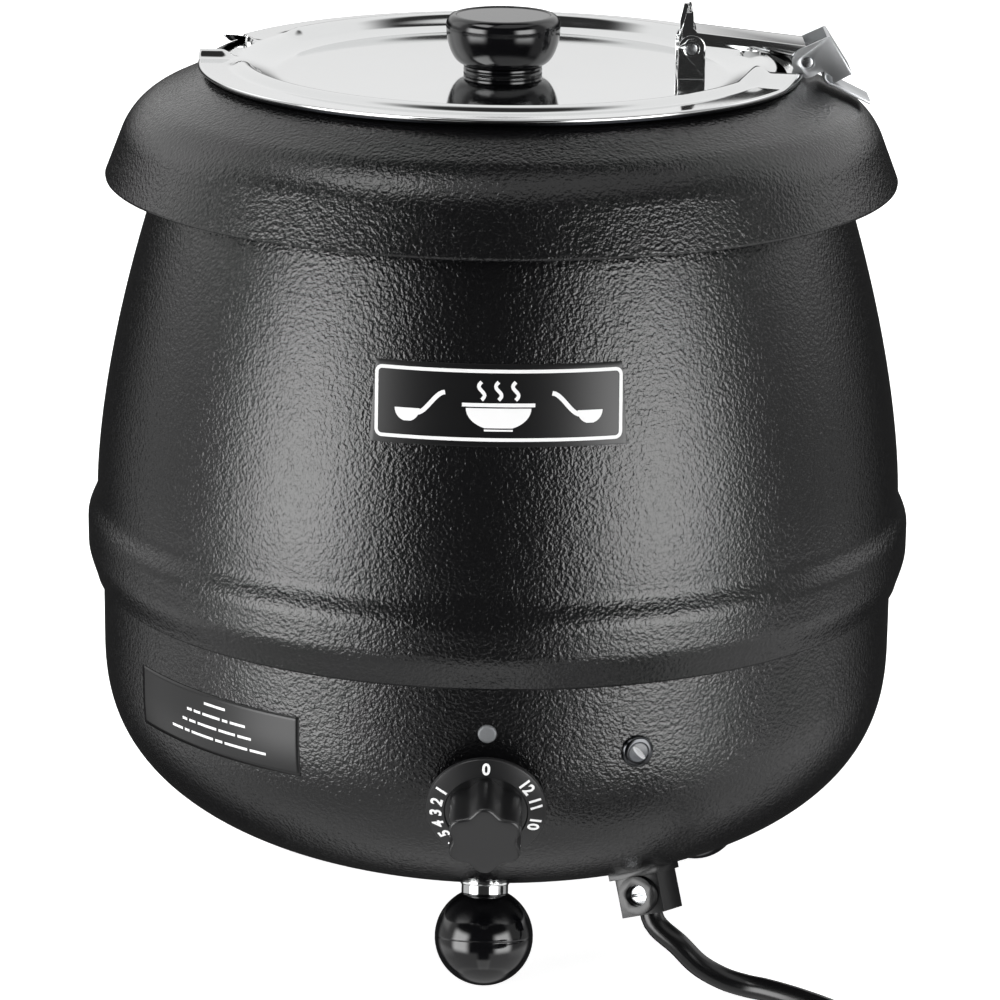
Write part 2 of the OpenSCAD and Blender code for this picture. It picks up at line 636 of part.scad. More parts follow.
kr = knob_d / 2;
module lid_knob() {
    neck = 0.69 * kr;
    color("#131315") translate([0, 0, panel_z]) difference() {
        rotate_extrude($fn = 72) polygon(concat(
            [[0, 0], [neck, 0], [neck, 1.2], [neck - 0.5, 1.5], [neck, 1.8], [neck, 2.8], [neck - 0.7, 3.1]],
            [for (i = [0 : 7]) let (w = 90 * i / 7) [neck - 0.4 + (kr - neck + 0.4) * sin(w), 3.2 + (knob_h - 7.6) * (1 - cos(w))]],
            [for (i = [1 : 5]) let (w = 90 * i / 5) [kr - 3.7 * (1 - cos(w)), knob_h - 4.4 + 4.4 * sin(w)]],
            [[kr - 4.3, knob_h - 0.5], [0, knob_h - 0.5]]));
        translate([0, 0, -1]) cylinder(r = 2.5, h = 0.6 * knob_h + 1, $fn = 24);
    }
}
module knob_washer() {
    color("#9fa1a3") translate([0, 0, panel_z - lid_t - 1]) difference() {
        cylinder(r = 8, h = 1, $fn = 40);
        translate([0, 0, -1]) cylinder(r = 2.6, h = 3, $fn = 24);
    }
}
module knob_screw() {
    color("#b0b2b4") translate([0, 0, panel_z - lid_t - 1]) rotate([180, 0, 0]) pan_screw(4.6, 3, 2.5, 0.6 * knob_h + lid_t);
}

br_in = aw + 0.35;
br_out = br_in + side_t;
module lid_bracket() {
    h0 = panel_z + 1.5;
    color("#c2c4c7") difference() {
        union() {
            translate([ax[0] - 5.6, -br_out, panel_z]) cube([11.2, 2 * br_out, 1.5]);
            for (s = [-1, 1]) plate_y(min(s * br_in, s * br_out), max(s * br_in, s * br_out)) union() {
                translate(ax) circle(r = 5.6, $fn = 48);
                polygon([ax + [-5.6, 0], ax + [5.6, 0], [ax[0] + 5.6, h0 - 0.5], [ax[0] - 5.6, h0 - 0.5]]);
            }
        }
        rod_y(ax[0], ax[1], pr, -40, 40);
        for (s = [-1, 1]) rod_y(ax[0], ax[1], pr + 0.95, s > 0 ? br_out - 0.7 : -br_out - 1, s > 0 ? br_out + 1 : -br_out + 0.7);
        for (s = [-1, 1]) translate([ax[0], 6 * s, panel_z - 5]) cylinder(r = 2, h = 10, $fn = 24);
    }
}
module bracket_pin() { color("#a9abad") rod_y(ax[0], ax[1], pr, -br_out, br_out); }
module bracket_rivets() {
    color("#b0b2b4") for (s = [-1, 1]) translate([ax[0], 6 * s, panel_z]) {
        translate([0, 0, -lid_t - 1]) cylinder(r = 3.2, h = 1, $fn = 24);
        translate([0, 0, -lid_t - 0.5]) cylinder(r = 2, h = 2 + lid_t, $fn = 24);
        translate([0, 0, 1.5]) cylinder(r1 = 3.2, r2 = 2.4, h = 1, $fn = 24);
    }
}

module lid_arm() {
    low_l = arm_l - 5 * arm_n;
    low_r = arm_r - 4.6 * arm_n;
    tab = arm_l + [-3.9, 0.4];
    color("#b4b6b9") difference() {
        union() {
            // top of the channel and the turned-up thumb tab
            plate_y(-aw, aw) polygon(strip([arm_r, arm_l + arm_d * 2, arm_l + [0.6, 1.6], arm_l + [0.3, tab_h - 0.2], arm_l + [-0.5, tab_h]], -1.5));
            for (s = [-1, 1]) plate_y(min(s * aw, s * (aw - side_t)), max(s * aw, s * (aw - side_t))) {
                polygon([arm_r, arm_l, low_l, low_r]);
                polygon([arm_l + [0.6, 0], arm_l + [0.2, tab_h - 0.6], arm_l + [-2.6, tab_h - 0.6], tab + [-0.3, 0], ax + [-4.3, 0], ax, low_l + arm_d * 6]);
                translate(ax) circle(r = 4.4, $fn = 40);
                polygon([arm_r, arm_r - arm_d * 8, px + [-4, 0], px + [4, 0]]);
                translate(px) circle(r = 4, $fn = 40);
            }
        }
        rod_y(px[0], px[1], pr + pin_clear, -40, 40);
        rod_y(ax[0], ax[1], pr, -40, 40);
    }
}

// ================= cord =================
gl_dir = let (a = base_turn + gland_az) [sin(gland_lean) * sin(a), -sin(gland_lean) * cos(a), -cos(gland_lean)];
gl_top = let (a = base_turn + gland_az) [gland_r * sin(a), -gland_r * cos(a), bowl_z_at(gland_r)];
// The way the cord takes down to the table and over it, and the middle of its coil
way = [[76, -108.5, 20.5], [84.5, -110.5, cord_d / 2 + 7.75], [94.5, -112, cord_d / 2 + 2.45], [104, -114, cord_d / 2 + 0.15], [113, -118.5, cord_d / 2],
    [126, -128.5, cord_d / 2], [140, -143, cord_d / 2], [151, -164, cord_d / 2], [157, -190, cord_d / 2], [161, -218, cord_d / 2], [165.3, -242.6, cord_d / 2]];
coil_c = [112, -262, 0];
coil_r = 52;
// The end that lifts off the coil and goes into the plug, from the coil's middle
tail = concat([[51, -6, 32]], [for (t = [0 : 20 : 80]) [7 + 44 * cos(t), 8 + 44 * sin(t), 32 - 7.6 * ease(t / 100)]],
    [for (q = [[100, 52, 23.9], [120, 52.6, 23.75], [140, 53.6, 23.75], [155, 54.6, 23.4], [170, 55.6, 21.5], [185, 56.4, 18.3], [200, 56.7, 15.4]])
        [q[1] * cos(q[0]), q[1] * sin(q[0]), q[2]]]);
cord_points = concat([gl_top + gl_dir * -6, gl_top + gl_dir * (gland_l * 0.5), gl_top + gl_dir * (gland_l + 4)], way);
function spline(p, i, t) = let (a = p[max(i - 1, 0)], b = p[i], c = p[i + 1], d = p[min(i + 2, len(p) - 1)])
    0.5 * (2 * b + (c - a) * t + (2 * a - 5 * b + 4 * c - d) * t * t + (3 * b - a - 3 * c + d) * t * t * t);
function smooth_path(p, n) = concat([for (i = [0 : len(p) - 2]) for (j = [0 : n - 1]) spline(p, i, j / n)], [p[len(p) - 1]]);
function level(d) = unit(cross([0, 0, 1], abs(d[2]) > 0.98 ? [0.3, -1, 0.2] : d));
module tube(p, r, sides) {
    n = len(p);
    pts = [for (i = [0 : n - 1]) let (d = unit(p[min(i + 1, n - 1)] - p[max(i - 1, 0)]), u = level(d), v = cross(d, u))
        for (j = [0 : sides - 1]) let (w = 360 * j / sides) p[i] + r * (cos(w) * u + sin(w) * v)];
    faces = concat([[for (j = [sides - 1 : -1 : 0]) j]], [[for (j = [0 : sides - 1]) (n - 1) * sides + j]],
        [for (i = [0 : n - 2]) for (j = [0 : sides - 1]) let (a = i * sides + j, b = i * sides + (j + 1) % sides)
            [a, b, b + sides, a + sides]]);
    polyhedron(pts, faces, convexity = 6);
}
module cord() {
    color("#17181a") {
        tube(smooth_path(cord_points, 5), cord_d / 2, 12);
        tube(smooth_path([for (q = tail) coil_c + q], 5), cord_d / 2, 12);
    }
}
// the wound turns, two wide and two high, as one closed ring
module cord_coil() {
    w = cord_d;
    color("#17181a") translate(coil_c) rotate_extrude($fn = 72) translate([coil_r, 0]) polygon(concat(
        rounded([-w, 0], [w, 0], [w, 2 * w], 4, 3), rounded([w, 0], [w, 2 * w], [-w, 2 * w], 4, 3),
        rounded([w, 2 * w], [-w, 2 * w], [-w, 0], 4, 3), rounded([-w, 2 * w], [-w, 0], [w, 0], 4, 3)));
}
module cord_tie() {
    w = cord_d;
    color("#2a2b2e") translate(coil_c) rotate([0, 0, 240]) translate([coil_r, -4, 0]) difference() {
        translate([-w - 1.2, 0, 0]) cube([2 * w + 2.4, 8, 2 * w + 1.2]);
        translate([-coil_r, 4, 0]) rotate_extrude($fn = 72) translate([coil_r, 0]) square([2 * w, 4 * w], center = true);
    }
}
plug_at = coil_c + [51, -18, 19];
module plug_place() { translate(plug_at) rotate([0, 0, -90]) children(); }
module plug_body() {
    color("#17181a") plug_place() translate([0, 0, 13]) rotate([0, 90, 0]) {
        cylinder(r = 13, h = 26, $fn = 40);
        translate([0, 0, -12]) cylinder(r1 = 7.2, r2 = 11, h = 12.1, $fn = 40);
        translate([0, 0, -26]) cylinder(r1 = 5.7, r2 = 7.2, h = 14.1, $fn = 32);
    }
}
module plug_blades() {
    color("#c9b06a") plug_place() for (s = [-1, 1]) translate([26, 6.35 * s - 0.76, 13 - 3.2 + 3]) cube([17.5, 1.52, 6.35]);
}
module plug_earth_pin() {
    color("#c9b06a") plug_place() translate([26, 0, 13 - 8.3]) rotate([0, 90, 0]) {
        cylinder(r = 2.4, h = 18, $fn = 32);
        translate([0, 0, 18]) sphere(r = 2.4, $fn = 32);
    }
}
module lead_wires() {
    color("#7d5a3c") {
        for (s = [-1, 1]) tube(smooth_path([[7 * s, -heat_r, well_z - heat_tube - 14], [7 * s, -heat_r, well_z - heat_tube - 18], [9 * s, -heat_r + 4, well_z - 27],
            [16 * s, -heat_r + 20, well_z - 34], [20 * s, -heat_r + 36, well_z - 40]], 4), 1.4, 8);
    }
}

outer_shell();
top_ring();
base_bowl();
water_well();
tie_bolt();
tie_washer();
heating_element();
clamp_studs();
clamp_plate();
clamp_nuts();
insulation();
heat_shield();
thermostat_body();
thermostat_shaft();
thermostat_screws();
capillary_bulb();
dial();
index_dot();
lamp_bezel();
lamp_lens();
lamp_body();
nameplate();
info_label();
terminal_block();
terminal_screws();
earth_stud();
foot_front();
foot_right();
foot_left();
foot_collars();
foot_studs();
foot_nuts();
gland_body();
gland_clamp();
gland_screw();
gland_nut();
soup_pot();
hinge_channel();
hinge_pin();
lever_pin();
release_lever();
lever_spring();
lid();
lid_knob();
knob_washer();
knob_screw();
lid_bracket();
bracket_pin();
bracket_rivets();
lid_arm();
cord();
cord_coil();
cord_tie();
plug_body();
plug_blades();
plug_earth_pin();
lead_wires();
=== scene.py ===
"""Countertop soup kettle: black body, lift-out pot, mirror lid with a hinge and a ladle notch."""

import json
import math

import bmesh
import bpy
import numpy as np
from mathutils import Matrix, Vector


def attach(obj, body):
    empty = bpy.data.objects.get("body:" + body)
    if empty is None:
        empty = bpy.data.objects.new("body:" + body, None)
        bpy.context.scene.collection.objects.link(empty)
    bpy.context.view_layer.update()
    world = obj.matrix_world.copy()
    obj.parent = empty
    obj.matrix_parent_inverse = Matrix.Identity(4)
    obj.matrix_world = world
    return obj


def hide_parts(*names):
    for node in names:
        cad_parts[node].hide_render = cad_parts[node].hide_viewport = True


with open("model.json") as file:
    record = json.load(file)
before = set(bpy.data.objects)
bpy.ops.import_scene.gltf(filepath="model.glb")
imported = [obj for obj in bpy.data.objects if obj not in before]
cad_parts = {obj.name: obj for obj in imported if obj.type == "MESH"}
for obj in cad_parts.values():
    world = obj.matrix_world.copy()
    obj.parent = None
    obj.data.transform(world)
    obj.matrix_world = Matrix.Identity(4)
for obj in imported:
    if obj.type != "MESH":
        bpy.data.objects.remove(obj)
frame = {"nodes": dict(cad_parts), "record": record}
for left_over in ("Cube", "Light", "Camera"):
    if left_over in bpy.data.objects:
        bpy.data.objects.remove(bpy.data.objects[left_over])
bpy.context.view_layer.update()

MM = 0.001
rad = math.radians

# ---- camera ----


CAMERA_TILT, CAMERA_ROLL = 16.14, 0.69  # degrees down, and degrees round its own axis
CAMERA_AIM, CAMERA_AWAY = (0.00097, 0, 0.1773), 1.8  # metres
LENS_MM, SENSOR_MM = 153.14, 36
CLIP_NEAR, CLIP_FAR = 0.05, 60


def linked(name, data):
    """A new object for this data, put into the scene."""
    piece = bpy.data.objects.new(name, data)
    bpy.context.scene.collection.objects.link(piece)
    return piece


def make_camera():
    """A long lens, a little above the kettle and looking down at its middle."""
    tilt = rad(CAMERA_TILT)
    back = Vector((0, -math.cos(tilt), math.sin(tilt)))
    camera = linked("camera", bpy.data.cameras.new("camera"))
    camera.data.sensor_width, camera.data.lens = SENSOR_MM, LENS_MM
    camera.data.clip_start, camera.data.clip_end = CLIP_NEAR, CLIP_FAR
    turn = (-back).to_track_quat("-Z", "Y").to_matrix() @ Matrix.Rotation(rad(CAMERA_ROLL), 3, "Z")
    camera.location = Vector(CAMERA_AIM) + back * CAMERA_AWAY
    camera.rotation_euler = turn.to_euler()
    bpy.context.scene.camera = camera


make_camera()

# ---- general helpers: colours, nodes, meshes ----


def linear(hexcode):
    """An sRGB hex colour as linear RGBA."""
    part = [int(hexcode[i:i + 2], 16) / 255 for i in (0, 2, 4)]
    return [c / 12.92 if c <= 0.04045 else ((c + 0.055) / 1.055) ** 2.4 for c in part] + [1.0]


def add(tree, kind, inputs=None, **settings):
    """One node with its settings; each input is a value or the socket that feeds it."""
    node = tree.nodes.new(kind)
    for key, value in settings.items():
        setattr(node, key, value)
    for key, value in (inputs or {}).items():
        if isinstance(value, bpy.types.NodeSocket):
            tree.links.new(value, node.inputs[key])
        else:
            node.inputs[key].default_value = value
    return node


def finish_of(name, colour, **values):
    """A material with a Principled shader whose constant values sit on its own sockets."""
    material = bpy.data.materials.new(name)
    material.use_nodes = True
    shader = material.node_tree.nodes["Principled BSDF"]
    shader.inputs["Base Color"].default_value = linear(colour)
    for key, value in values.items():
        shader.inputs[key.replace("_", " ")].default_value = value
    return material, material.node_tree, shader


def place(tree, scale=(1, 1, 1)):
    """Object coordinates, stretched by scale."""
    where = add(tree, "ShaderNodeTexCoord")
    spread = add(tree, "ShaderNodeMapping", {"Vector": where.outputs["Object"], "Scale": scale})
    return spread.outputs["Vector"]


def calc(tree, operation, *values):
    """A maths node's result; each value is a number or a socket."""
    return add(tree, "ShaderNodeMath", dict(enumerate(values)), operation=operation).outputs[0]


def bumped(tree, shader, height, strength, distance):
    """Lets a height raise and lower the shader's surface."""
    bump = add(tree, "ShaderNodeBump", {"Height": height, "Strength": strength, "Distance": distance})
    tree.links.new(bump.outputs["Normal"], shader.inputs["Normal"])


def node_group(name, inputs, output):
    """A Geometry Nodes group with its input sockets and one geometry output."""
    tree = bpy.data.node_groups.new(name, "GeometryNodeTree")
    for label, kind in inputs:
        tree.interface.new_socket(label, in_out="INPUT", socket_type="NodeSocket" + kind)
    tree.interface.new_socket(output, in_out="OUTPUT", socket_type="NodeSocketGeometry")
    return tree, add(tree, "NodeGroupInput").outputs


def hand_out(tree, shape, finish, output):
    """Makes instances real, gives them their finish and hands them out of the group."""
    real = add(tree, "GeometryNodeRealizeInstances", {"Geometry": shape})
    painted = add(tree, "GeometryNodeSetMaterial", {"Geometry": real.outputs[0], "Material": finish})
    add(tree, "NodeGroupOutput", {output: painted.outputs[0]})


def make_mesh(name, points, faces, material, smooth=40):
    """Points in millimetres and faces as a mesh object; edges sharper than smooth degrees stay crisp."""
    mesh = bpy.data.meshes.new(name)
    mesh.from_pydata([(x * MM, y * MM, z * MM) for x, y, z in points], [], faces)
    piece = linked(name, mesh)
    tidy(mesh, smooth)
    mesh.materials.append(material)
    return piece


def tidy(mesh, smooth, dist=1e-6):
    """Joins doubled points, turns the faces outwards and shades them smooth up to an angle."""
    bm = bmesh.new()
    bm.from_mesh(mesh)
    bmesh.ops.remove_doubles(bm, verts=bm.verts, dist=dist)
    bmesh.ops.recalc_face_normals(bm, faces=bm.faces)
    bm.to_mesh(mesh)
    bm.free()
    mesh.shade_smooth()
    mesh.set_sharp_from_angle(angle=rad(smooth))


def plain(piece):
    """The piece's evaluated mesh in place of its modifiers."""
    depsgraph = bpy.context.evaluated_depsgraph_get()
    mesh = bpy.data.meshes.new_from_object(piece.evaluated_get(depsgraph))
    mesh.name = piece.name
    piece.modifiers.clear()
    piece.data = mesh
    return piece


def soften(piece, width, angle=38, segments=2):
    """Rounds the piece's edges by width millimetres."""
    bevel = piece.modifiers.new("edges", "BEVEL")
    bevel.width, bevel.segments = width * MM, segments
    bevel.limit_method, bevel.angle_limit = "ANGLE", rad(angle)
    bevel.use_clamp_overlap = True
    bevel.harden_normals = False
    return plain(piece)


def thicken(piece, thickness):
    """Gives a surface a thickness in millimetres, inwards."""
    solid = piece.modifiers.new("thickness", "SOLIDIFY")
    solid.thickness, solid.offset = thickness * MM, -1
    return plain(piece)


def fix(piece, body, slot, *nodes):
    """The piece rides on a body and stands for these CAD nodes, which it hides; slot is not used."""
    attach(piece, body)
    if nodes:
        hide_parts(*nodes)
    return piece


def grid_faces(rows, cols, wrap=False):
    """Quads over rows x cols points; wrap joins the last column to the first."""
    faces = []
    for i in range(rows - 1):
        for j in range(cols if wrap else cols - 1):
            a, b = i * cols + j, i * cols + (j + 1) % cols
            faces.append((a, b, b + cols, a + cols))
    return faces


def ease(u):
    """A smooth step from 0 to 1."""
    c = min(max(u, 0.0), 1.0)
    return c * c * (3 - 2 * c)


# ---- finishes ----


def powder_coat():
    """Black wrinkle powder coat on steel: the paint draws up into soft pebbles one or two millimetres
    apart, so broad lamps break up into a grain of small bright flecks."""
    material, tree, shader = finish_of("black wrinkle powder coat", "0A0A0B", Roughness=0.2, IOR=1.55)
    where = place(tree)
    pebble = add(tree, "ShaderNodeTexNoise", {"Vector": where, "Scale": 700, "Detail": 1.5,
                                              "Roughness": 0.5, "Distortion": 0.35})
    fine = add(tree, "ShaderNodeTexNoise", {"Vector": where, "Scale": 1500, "Detail": 1.0})
    both = calc(tree, "MULTIPLY_ADD", fine.outputs[0], 0.16, pebble.outputs[0])
    bumped(tree, shader, both, 0.42, 0.0008)
    return material


def mirror_steel():
    """Stainless steel pressed and buffed to a mirror: clear reflections, a trace of polishing haze."""
    material, tree, shader = finish_of("mirror-polished stainless steel", "E3E4E4", Metallic=1.0)
    haze = add(tree, "ShaderNodeTexNoise", {"Vector": place(tree), "Scale": 24, "Detail": 3.0})
    rough = add(tree, "ShaderNodeMapRange", {0: haze.outputs[0], 3: 0.03, 4: 0.11})
    tree.links.new(rough.outputs[0], shader.inputs["Roughness"])
    return material


def brushed_metal(name, colour, roughness, grain=(900, 900, 60)):
    """Drawn or rolled metal: fine parallel scratches spread the highlight across their run."""
    material, tree, shader = finish_of(name, colour, Metallic=1.0, Roughness=roughness)
    scratch = add(tree, "ShaderNodeTexNoise", {"Vector": place(tree, grain), "Scale": 1.0, "Detail": 2.0})
    bumped(tree, shader, scratch.outputs[0], 0.12, 0.0002)
    return material


def moulded(name, colour, roughness, ior=1.5, grain=700, depth=0.00005):
    """Moulded plastic or rubber: an even skin with the faint ripple of the mould."""
    material, tree, shader = finish_of(name, colour, Roughness=roughness, IOR=ior)
    ripple = add(tree, "ShaderNodeTexNoise", {"Vector": place(tree), "Scale": grain, "Detail": 2.0})
    bumped(tree, shader, ripple.outputs[0], 0.3, depth)
    return material


def glass_wool():
    """Glass-fibre blanket: matt pale yellow with a tangle of fibres."""
    material, tree, shader = finish_of("glass-fibre blanket", "D9CFA0", Roughness=0.95)
    fibre = add(tree, "ShaderNodeTexNoise", {"Vector": place(tree, (1, 1, 4)), "Scale": 300, "Detail": 5.0})
    bumped(tree, shader, fibre.outputs[0], 0.8, 0.002)
    return material


def braid():
    """Braided glass sleeve: a fine crossed weave about 0.6 mm wide."""
    material, tree, shader = finish_of("braided wire sleeve", "6A4530", Roughness=0.8)
    weave = add(tree, "ShaderNodeTexChecker", {"Vector": place(tree), "Scale": 1700})
    bumped(tree, shader, weave.outputs["Fac"], 0.4, 0.0002)
    return material


COAT = powder_coat()  # the body's paint
MIRROR = mirror_steel()  # lid, bracket, arm, pot and foot collars: they mirror the studio
# pins, rivets and screws: small bright points
STEEL = brushed_metal("bright zinc-plated steel", "B9BBBD", 0.26)
# the water well: a soft grey shine
ALUMINIUM = brushed_metal("spun aluminium", "C9CBCC", 0.34, (700, 700, 700))
# the heating element: dull, browned by heat
SHEATH = brushed_metal("oxidised element sheath", "5B5E58", 0.5, (600, 600, 600))
BRASS = brushed_metal("turned brass", "C9A659", 0.28)  # the plug's blades and earth pin
COPPER = brushed_metal("drawn copper", "C07B50", 0.3)  # the thermostat's bulb and its fine tube
# the lamp's ring: a dark, sharp shine
CHROME = finish_of("black chrome", "4A4B4D", Metallic=1.0, Roughness=0.16)[0]
# hinge channel and lever: wide, even highlights instead of mirror images
SATIN = brushed_metal("satin stainless steel", "D6D8DA", 0.4)
# the pot's rolled rim: stainless steel painted near-black, as painted shade for the dark line under the lid
RIM_PAINTED_SHADE = brushed_metal("rolled rim painted as shade", "17181A", 0.3)
# knob and ball feet: black glass with clear lamp images
PHENOLIC = moulded("gloss black phenolic", "08080A", 0.1, 1.58, 260, 0.00003)
# the dial: a wide grey sheen on its flutes
DIAL_BLACK = moulded("satin black nylon", "131314", 0.34, 1.56, 900, 0.00006)
# cord gland and tie: black with a soft edge light
BLOCK_BLACK = moulded("black nylon", "0B0B0C", 0.3, 1.53, 1100, 0.0001)
# the gland's saddle: the one light spot low on the body
CREAM = moulded("cream heat-proof moulding", "CFC4A8", 0.5)
# the cord and plug: a narrow long highlight
RUBBER = moulded("black cord jacket", "0A0A0B", 0.24, 1.52, 420, 0.00004)
# name plate and label: flat black under the print
PLATE = moulded("satin black printed plate", "0A0A0B", 0.3, 1.5, 500, 0.00002)
LENS = finish_of("smoked lamp lens", "55575A", Roughness=0.22, IOR=1.49)[0]  # the lamp's lens, unlit
# the ribs of the unlit lens are clear; their near-white colour is a painted highlight where they catch the light
LENS_RIB_HIGHLIGHT = finish_of("lamp lens ribs painted with highlights", "ECEDEE", Roughness=0.3, IOR=1.49)[0]  # its light ribs
# numbers on the dial and bars on the label
PRINT = finish_of("white printing ink", "E9E9E9", Roughness=0.45)[0]
# the name plate's frame and figures
SILVER_PRINT = finish_of("silver-white printing ink", "DADADA", Roughness=0.4)[0]
# the stud the dial is read against
DOT = finish_of("matt grey index stud", "76787A", Metallic=0.4, Roughness=0.5)[0]
WOOL = glass_wool()  # the blanket round the well, out of sight
SLEEVE = braid()  # the lead wires, out of sight
BY_SLOT = {"black_powder_coat": COAT, "polished_steel": MIRROR, "zinc_steel": STEEL,
           "aluminium_sheet": ALUMINIUM, "element_sheath": SHEATH, "glass_wool": WOOL,
           "black_phenolic": PHENOLIC, "brass": BRASS, "copper": COPPER, "cream_plastic": CREAM,
           "chrome": CHROME, "clear_lens": LENS, "black_plate": PLATE, "black_plastic": BLOCK_BLACK,
           "black_rubber": RUBBER, "wire_sleeve": SLEEVE}

# ---- the cord: down to the table, into its coil, and back up into the plug ----
CORD_D, CORD_LENGTH = 9.5, 1.56  # millimetres thick, metres long
GLAND_AZ, GLAND_R, GLAND_L = 32.5, 115.0, 18.0
# the way from the gland down to the table and along it
WAY = [(76, -108.5, 20.5), (84.5, -110.5, 12.5), (94.5, -112, 7.2), (104, -114, 4.9), (113, -118.5, 4.75),
       (126, -128.5, 4.75), (140, -143, 4.75), (151, -164, 4.75), (157, -190, 4.75), (161, -218, 4.75),
       (165.3, -242.6, 4.75)]
# the coil's middle, the radii of its inner and outer turns, and the height of its upper layer
COIL_C = (112, -262)
COIL_IN, COIL_OUT, COIL_UP = 47.25, 56.75, 14.25
PLUG_REACH, PLUG_UP = 51, 32


def spline(points, steps):
    """A smooth curve through the points."""
    out = []
    for i in range(len(points) - 1):
        a, b, c, d = (np.array(points[min(max(i + j, 0), len(points) - 1)], float)
                      for j in (-1, 0, 1, 2))
        for j in range(steps):
            t = j / steps
            out.append(0.5 * (2 * b + (c - a) * t + (2 * a - 5 * b + 4 * c - d) * t * t
                              + (3 * b - a - 3 * c + d) * t ** 3))
    return out + [np.array(points[-1], float)]


def wound_turn(a):
    """A point on the wound cord, a degrees on from where it arrives at the coil."""
    step = COIL_OUT - COIL_IN
    radius = COIL_OUT - step * ease((a - 290) / 70) + step * ease((a - 930) / 60)
    height = CORD_D / 2 + (COIL_UP - CORD_D / 2) * ease((a - 630) / 50)
    w = rad(20 - a)
    return (COIL_C[0] + radius * math.cos(w), COIL_C[1] + radius * math.sin(w), height)


def cord_line():
    """The cord's whole line, and the point where it leaves the gland."""
    lean = math.atan((bowl_z_at(GLAND_R + 1) - bowl_z_at(GLAND_R - 1)) / 2)
    az = rad(GLAND_AZ)
    top = np.array((GLAND_R * math.sin(az), -GLAND_R * math.cos(az), bowl_z_at(GLAND_R)))
    down = np.array((math.sin(lean) * math.sin(az), -math.sin(lean) * math.cos(az), -math.cos(lean)))
    first = spline([top - 6 * down, top + GLAND_L / 2 * down, top + (GLAND_L + 4) * down] + WAY, 5)
    turns = [np.array(wound_turn(a)) for a in range(10, 1221, 10)]
    lift = [(200, 56.7, 15.4), (185, 56.4, 18.3), (170, 55.6, 21.5), (155, 54.6, 23.4), (140, 53.6, 23.75),
            (120, 52.6, 23.75), (100, 52, 23.9)]
    end = [(r * math.cos(rad(w)), r * math.sin(rad(w)), z) for w, r, z in lift]
    end += [(7 + 44 * math.cos(rad(t)), 8 + 44 * math.sin(rad(t)), PLUG_UP - 7.6 * ease(t / 100))
            for t in (80, 60, 40, 20, 0)]
    end += [(PLUG_REACH, -6, PLUG_UP)]
    last = spline([turns[-1]] + [np.array((x + COIL_C[0], y + COIL_C[1], z)) for x, y, z in end], 5)
    exit_at = top + GLAND_L * down
    return first + turns + last[1:], exit_at


# The base bowl is a flattened round bowl: its radius and height follow a rounded-square rule
SEAM_Z, BOWL_Z, BOWL_R, SQUARE = 149.096, 33.0957, 166.3, 2.55
BOWL_BEND = SEAM_Z - 27


def bowl_z_at(r):
    """The bowl's height at a radius."""
    return BOWL_BEND - (BOWL_BEND - BOWL_Z) * max(1 - min(r / BOWL_R, 1) ** SQUARE, 0) ** (1 / SQUARE)


def bowl_r_at(z):
    """The bowl's radius at a height."""
    if z > BOWL_BEND:
        return BOWL_R
    return BOWL_R * (1 - ((BOWL_BEND - z) / (BOWL_BEND - BOWL_Z)) ** SQUARE) ** (1 / SQUARE)


def make_cord():
    points, exit_at = cord_line()
    curve = bpy.data.curves.new("cord", "CURVE")
    curve.dimensions = "3D"
    curve.bevel_depth, curve.bevel_resolution = CORD_D / 2 * MM, 7
    curve.use_fill_caps = True
    line = curve.splines.new("POLY")
    line.points.add(len(points) - 1)
    for point, spot in zip(line.points, points):
        point.co = (*(float(c) * MM for c in spot), 1)
    curve.materials.append(RUBBER)
    piece = linked("power_cord", curve)
    fix(piece, "base", "black_rubber", "cord", "cord_coil")


make_cord()

# ---- turned sheet metal: an outline of radius and height, swept round the upright axis ----
CREST_Z = 361.596
OPEN_R, NECK_R, WAIST_R = 122.5, 140.6, 168.5
NECK_Z, WAIST_Z, LIP_Z = CREST_Z - 40.5, SEAM_Z + 36, CREST_Z - 4.1


def turning_tree():
    """Geometry nodes that sweep an outline round a ring and close it up."""
    tree, given = node_group("turned sheet", (("Outline", "Geometry"), ("Steps", "Int"),
                                              ("Seed radius", "Float"), ("Finish", "Material")), "Sheet")
    outline = add(tree, "GeometryNodeMeshToCurve", {"Mesh": given["Outline"]})
    ring = add(tree, "GeometryNodeCurvePrimitiveCircle", {"Resolution": given["Steps"],
                                                          "Radius": given["Seed radius"]})
    swept = add(tree, "GeometryNodeCurveToMesh", {"Curve": ring.outputs[0],
                                                  "Profile Curve": outline.outputs[0]})
    joined = add(tree, "GeometryNodeMergeByDistance", {"Geometry": swept.outputs[0], "Distance": 2e-6})
    hand_out(tree, joined.outputs[0], given["Finish"], "Sheet")
    return tree


TURNING = turning_tree()


def set_inputs(modifier, **values):
    """Sets a Geometry Nodes modifier's inputs by their identifiers."""
    sockets = modifier.node_group.interface.items_tree
    named = {s.name: s.identifier for s in sockets if s.in_out == "INPUT"}
    for key, value in values.items():
        modifier[named[key.replace("_", " ")]] = value


def turned(name, outline, material, steps=192, closed=True, smooth=32):
    """Sweeps a closed outline of (radius, height) points in millimetres round the upright axis."""
    seed = 1.0
    points = [((r - seed) * MM, -z * MM, 0) for r, z in outline]
    edges = [(i, i + 1) for i in range(len(points) - 1)] + ([(len(points) - 1, 0)] if closed else [])
    mesh = bpy.data.meshes.new(name)
    mesh.from_pydata(points, edges, [])
    piece = linked(name, mesh)
    modifier = piece.modifiers.new("turned", "NODES")
    modifier.node_group = TURNING
    set_inputs(modifier, Steps=steps, Seed_radius=seed * MM, Finish=material)
    plain(piece)
    tidy(piece.data, smooth, 4e-6)
    return piece


